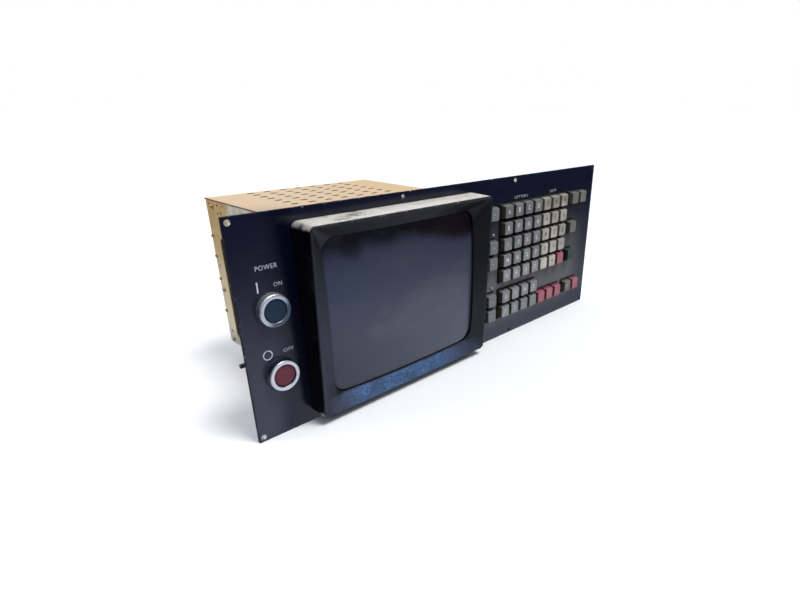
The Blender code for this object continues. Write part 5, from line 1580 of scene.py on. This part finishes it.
    for name, (x, z) in LEDS.items():
        bm = bmesh.new()
        turned(
            bm,
            [(0.1, -2.2), (0.6, -2.12), (1.0, -1.85), (1.28, -1.45), (1.42, -0.9), (1.45, -0.4), (1.45, 3.3), (1.9, 3.4), (1.9, 4.4), (1.45, 4.4), (1.45, 9.6)],
            (x, 0, z),
            "Y",
            28,
        )
        finish_piece(name.replace("led", "indicator"), bm, "led_lens", replaces=name)


front_plate()
bezel()
picture_tube()
yoke_and_neck()
chassis()
deflection_board()
push_button("on", ON_Z, "cap_teal")
push_button("off", OFF_Z, "cap_red")
keypad()

# ------------------------------------------------------------------ studio
floor_bm = bmesh.new()
bmesh.ops.create_grid(floor_bm, x_segments=8, y_segments=8, size=30.0)
floor_mesh = bpy.data.meshes.new("floor")
floor_bm.to_mesh(floor_mesh)
floor_bm.free()
floor = bpy.data.objects.new("floor", floor_mesh)
floor.location = (0.0, 0.0, (SHIFT.z - 0.15) * MM)
floor_finish = bpy.data.materials.new("floor")
floor_finish.use_nodes = True
floor_shader = floor_finish.node_tree.nodes["Principled BSDF"]
floor_nodes, floor_links = floor_finish.node_tree.nodes, floor_finish.node_tree.links
floor_place = floor_nodes.new("ShaderNodeTexCoord")
floor_reach = floor_nodes.new("ShaderNodeVectorMath")
floor_reach.operation = "LENGTH"
floor_links.new(floor_place.outputs["Object"], floor_reach.inputs[0])
floor_tone = floor_nodes.new("ShaderNodeMapRange")
floor_links.new(floor_reach.outputs["Value"], floor_tone.inputs["Value"])
for socket, value in zip(("From Min", "From Max", "To Min", "To Max"), (2.5, 7.0, 0.81, 0.93)):
    floor_tone.inputs[socket].default_value = value
floor_links.new(floor_tone.outputs["Result"], floor_shader.inputs["Base Color"])
floor_shader.inputs["Roughness"].default_value = 0.9
floor_shader.inputs["Specular IOR Level"].default_value = 0.1
floor_mesh.materials.append(floor_finish)
bpy.context.scene.collection.objects.link(floor)
# Gloss sees the studio's own gradient in place of the floor, so dark paint keeps its depth.
floor.visible_glossy = False


def lamp(name, kind, towards, power, colour=(1.0, 1.0, 1.0), at=None, size=None, angle=None):
    """A lamp whose light comes from the direction `towards`, or a softbox at a place."""
    light = bpy.data.lights.new(name, kind)
    light.energy = power
    light.color = colour
    obj = bpy.data.objects.new(name, light)
    aim = -Vector(towards)
    if kind == "SUN":
        light.angle = math.radians(angle)
        obj.location = Vector(towards).normalized() * 2.0
    else:
        light.shape = "RECTANGLE"
        light.size, light.size_y = size
        obj.location = at
        aim = Vector(towards) - Vector(at)
    obj.rotation_mode = "QUATERNION"
    obj.rotation_quaternion = aim.to_track_quat("-Z", "Y")
    bpy.context.scene.collection.objects.link(obj)
    return obj


lamp("key", "SUN", (0.20, -0.42, 1.0), 2.75, (1.0, 0.985, 0.955), angle=24.0)
lamp("rear_left", "AREA", (-0.15, 0.1, 0.08), 13.0, (1.0, 0.97, 0.92), at=(-1.3, 0.95, 0.75), size=(0.9, 0.7))

world = bpy.data.worlds.new("studio")
world.use_nodes = True
bpy.context.scene.world = world
nodes, links = world.node_tree.nodes, world.node_tree.links
sky = nodes["Background"]
coords = nodes.new("ShaderNodeTexCoord")
split = nodes.new("ShaderNodeSeparateXYZ")
links.new(coords.outputs["Generated"], split.inputs[0])


def ramp(source, low, high, to_low, to_high):
    made = nodes.new("ShaderNodeMapRange")
    made.interpolation_type = "SMOOTHSTEP"
    links.new(source, made.inputs["Value"])
    for key, value in (("From Min", low), ("From Max", high), ("To Min", to_low), ("To Max", to_high)):
        made.inputs[key].default_value = value
    return made.outputs["Result"]


def combine(operation, a, b):
    made = nodes.new("ShaderNodeMath")
    made.operation = operation
    for socket, value in zip(made.inputs, (a, b)):
        if isinstance(value, bpy.types.NodeSocket):
            links.new(value, socket)
        else:
            socket.default_value = value
    return made.outputs[0]


below = ramp(split.outputs[2], -0.20, -0.46, 0.0, 0.92)
across = combine("MAXIMUM", ramp(split.outputs[0], 0.0, 0.75, 0.55, 1.35), ramp(split.outputs[1], 0.2, 0.6, 0.0, 1.2))
above = ramp(split.outputs[2], 0.10, 0.75, 0.0, 0.75)
around_us = combine("ADD", combine("ADD", combine("MULTIPLY", below, across), above), 0.035)
links.new(around_us, sky.inputs["Strength"])
sky.inputs["Color"].default_value = (0.86, 0.95, 1.15, 1.0)
# The camera itself sees a plain pale backdrop.
backdrop = nodes.new("ShaderNodeBackground")
backdrop.inputs["Color"].default_value = (1.0, 1.0, 1.0, 1.0)
rays = nodes.new("ShaderNodeLightPath")
either = nodes.new("ShaderNodeMixShader")
links.new(rays.outputs["Is Camera Ray"], either.inputs[0])
links.new(sky.outputs[0], either.inputs[1])
links.new(backdrop.outputs[0], either.inputs[2])
links.new(either.outputs[0], nodes["World Output"].inputs["Surface"])

bpy.context.scene.view_settings.view_transform = "Standard"
bpy.context.scene.view_settings.look = "None"
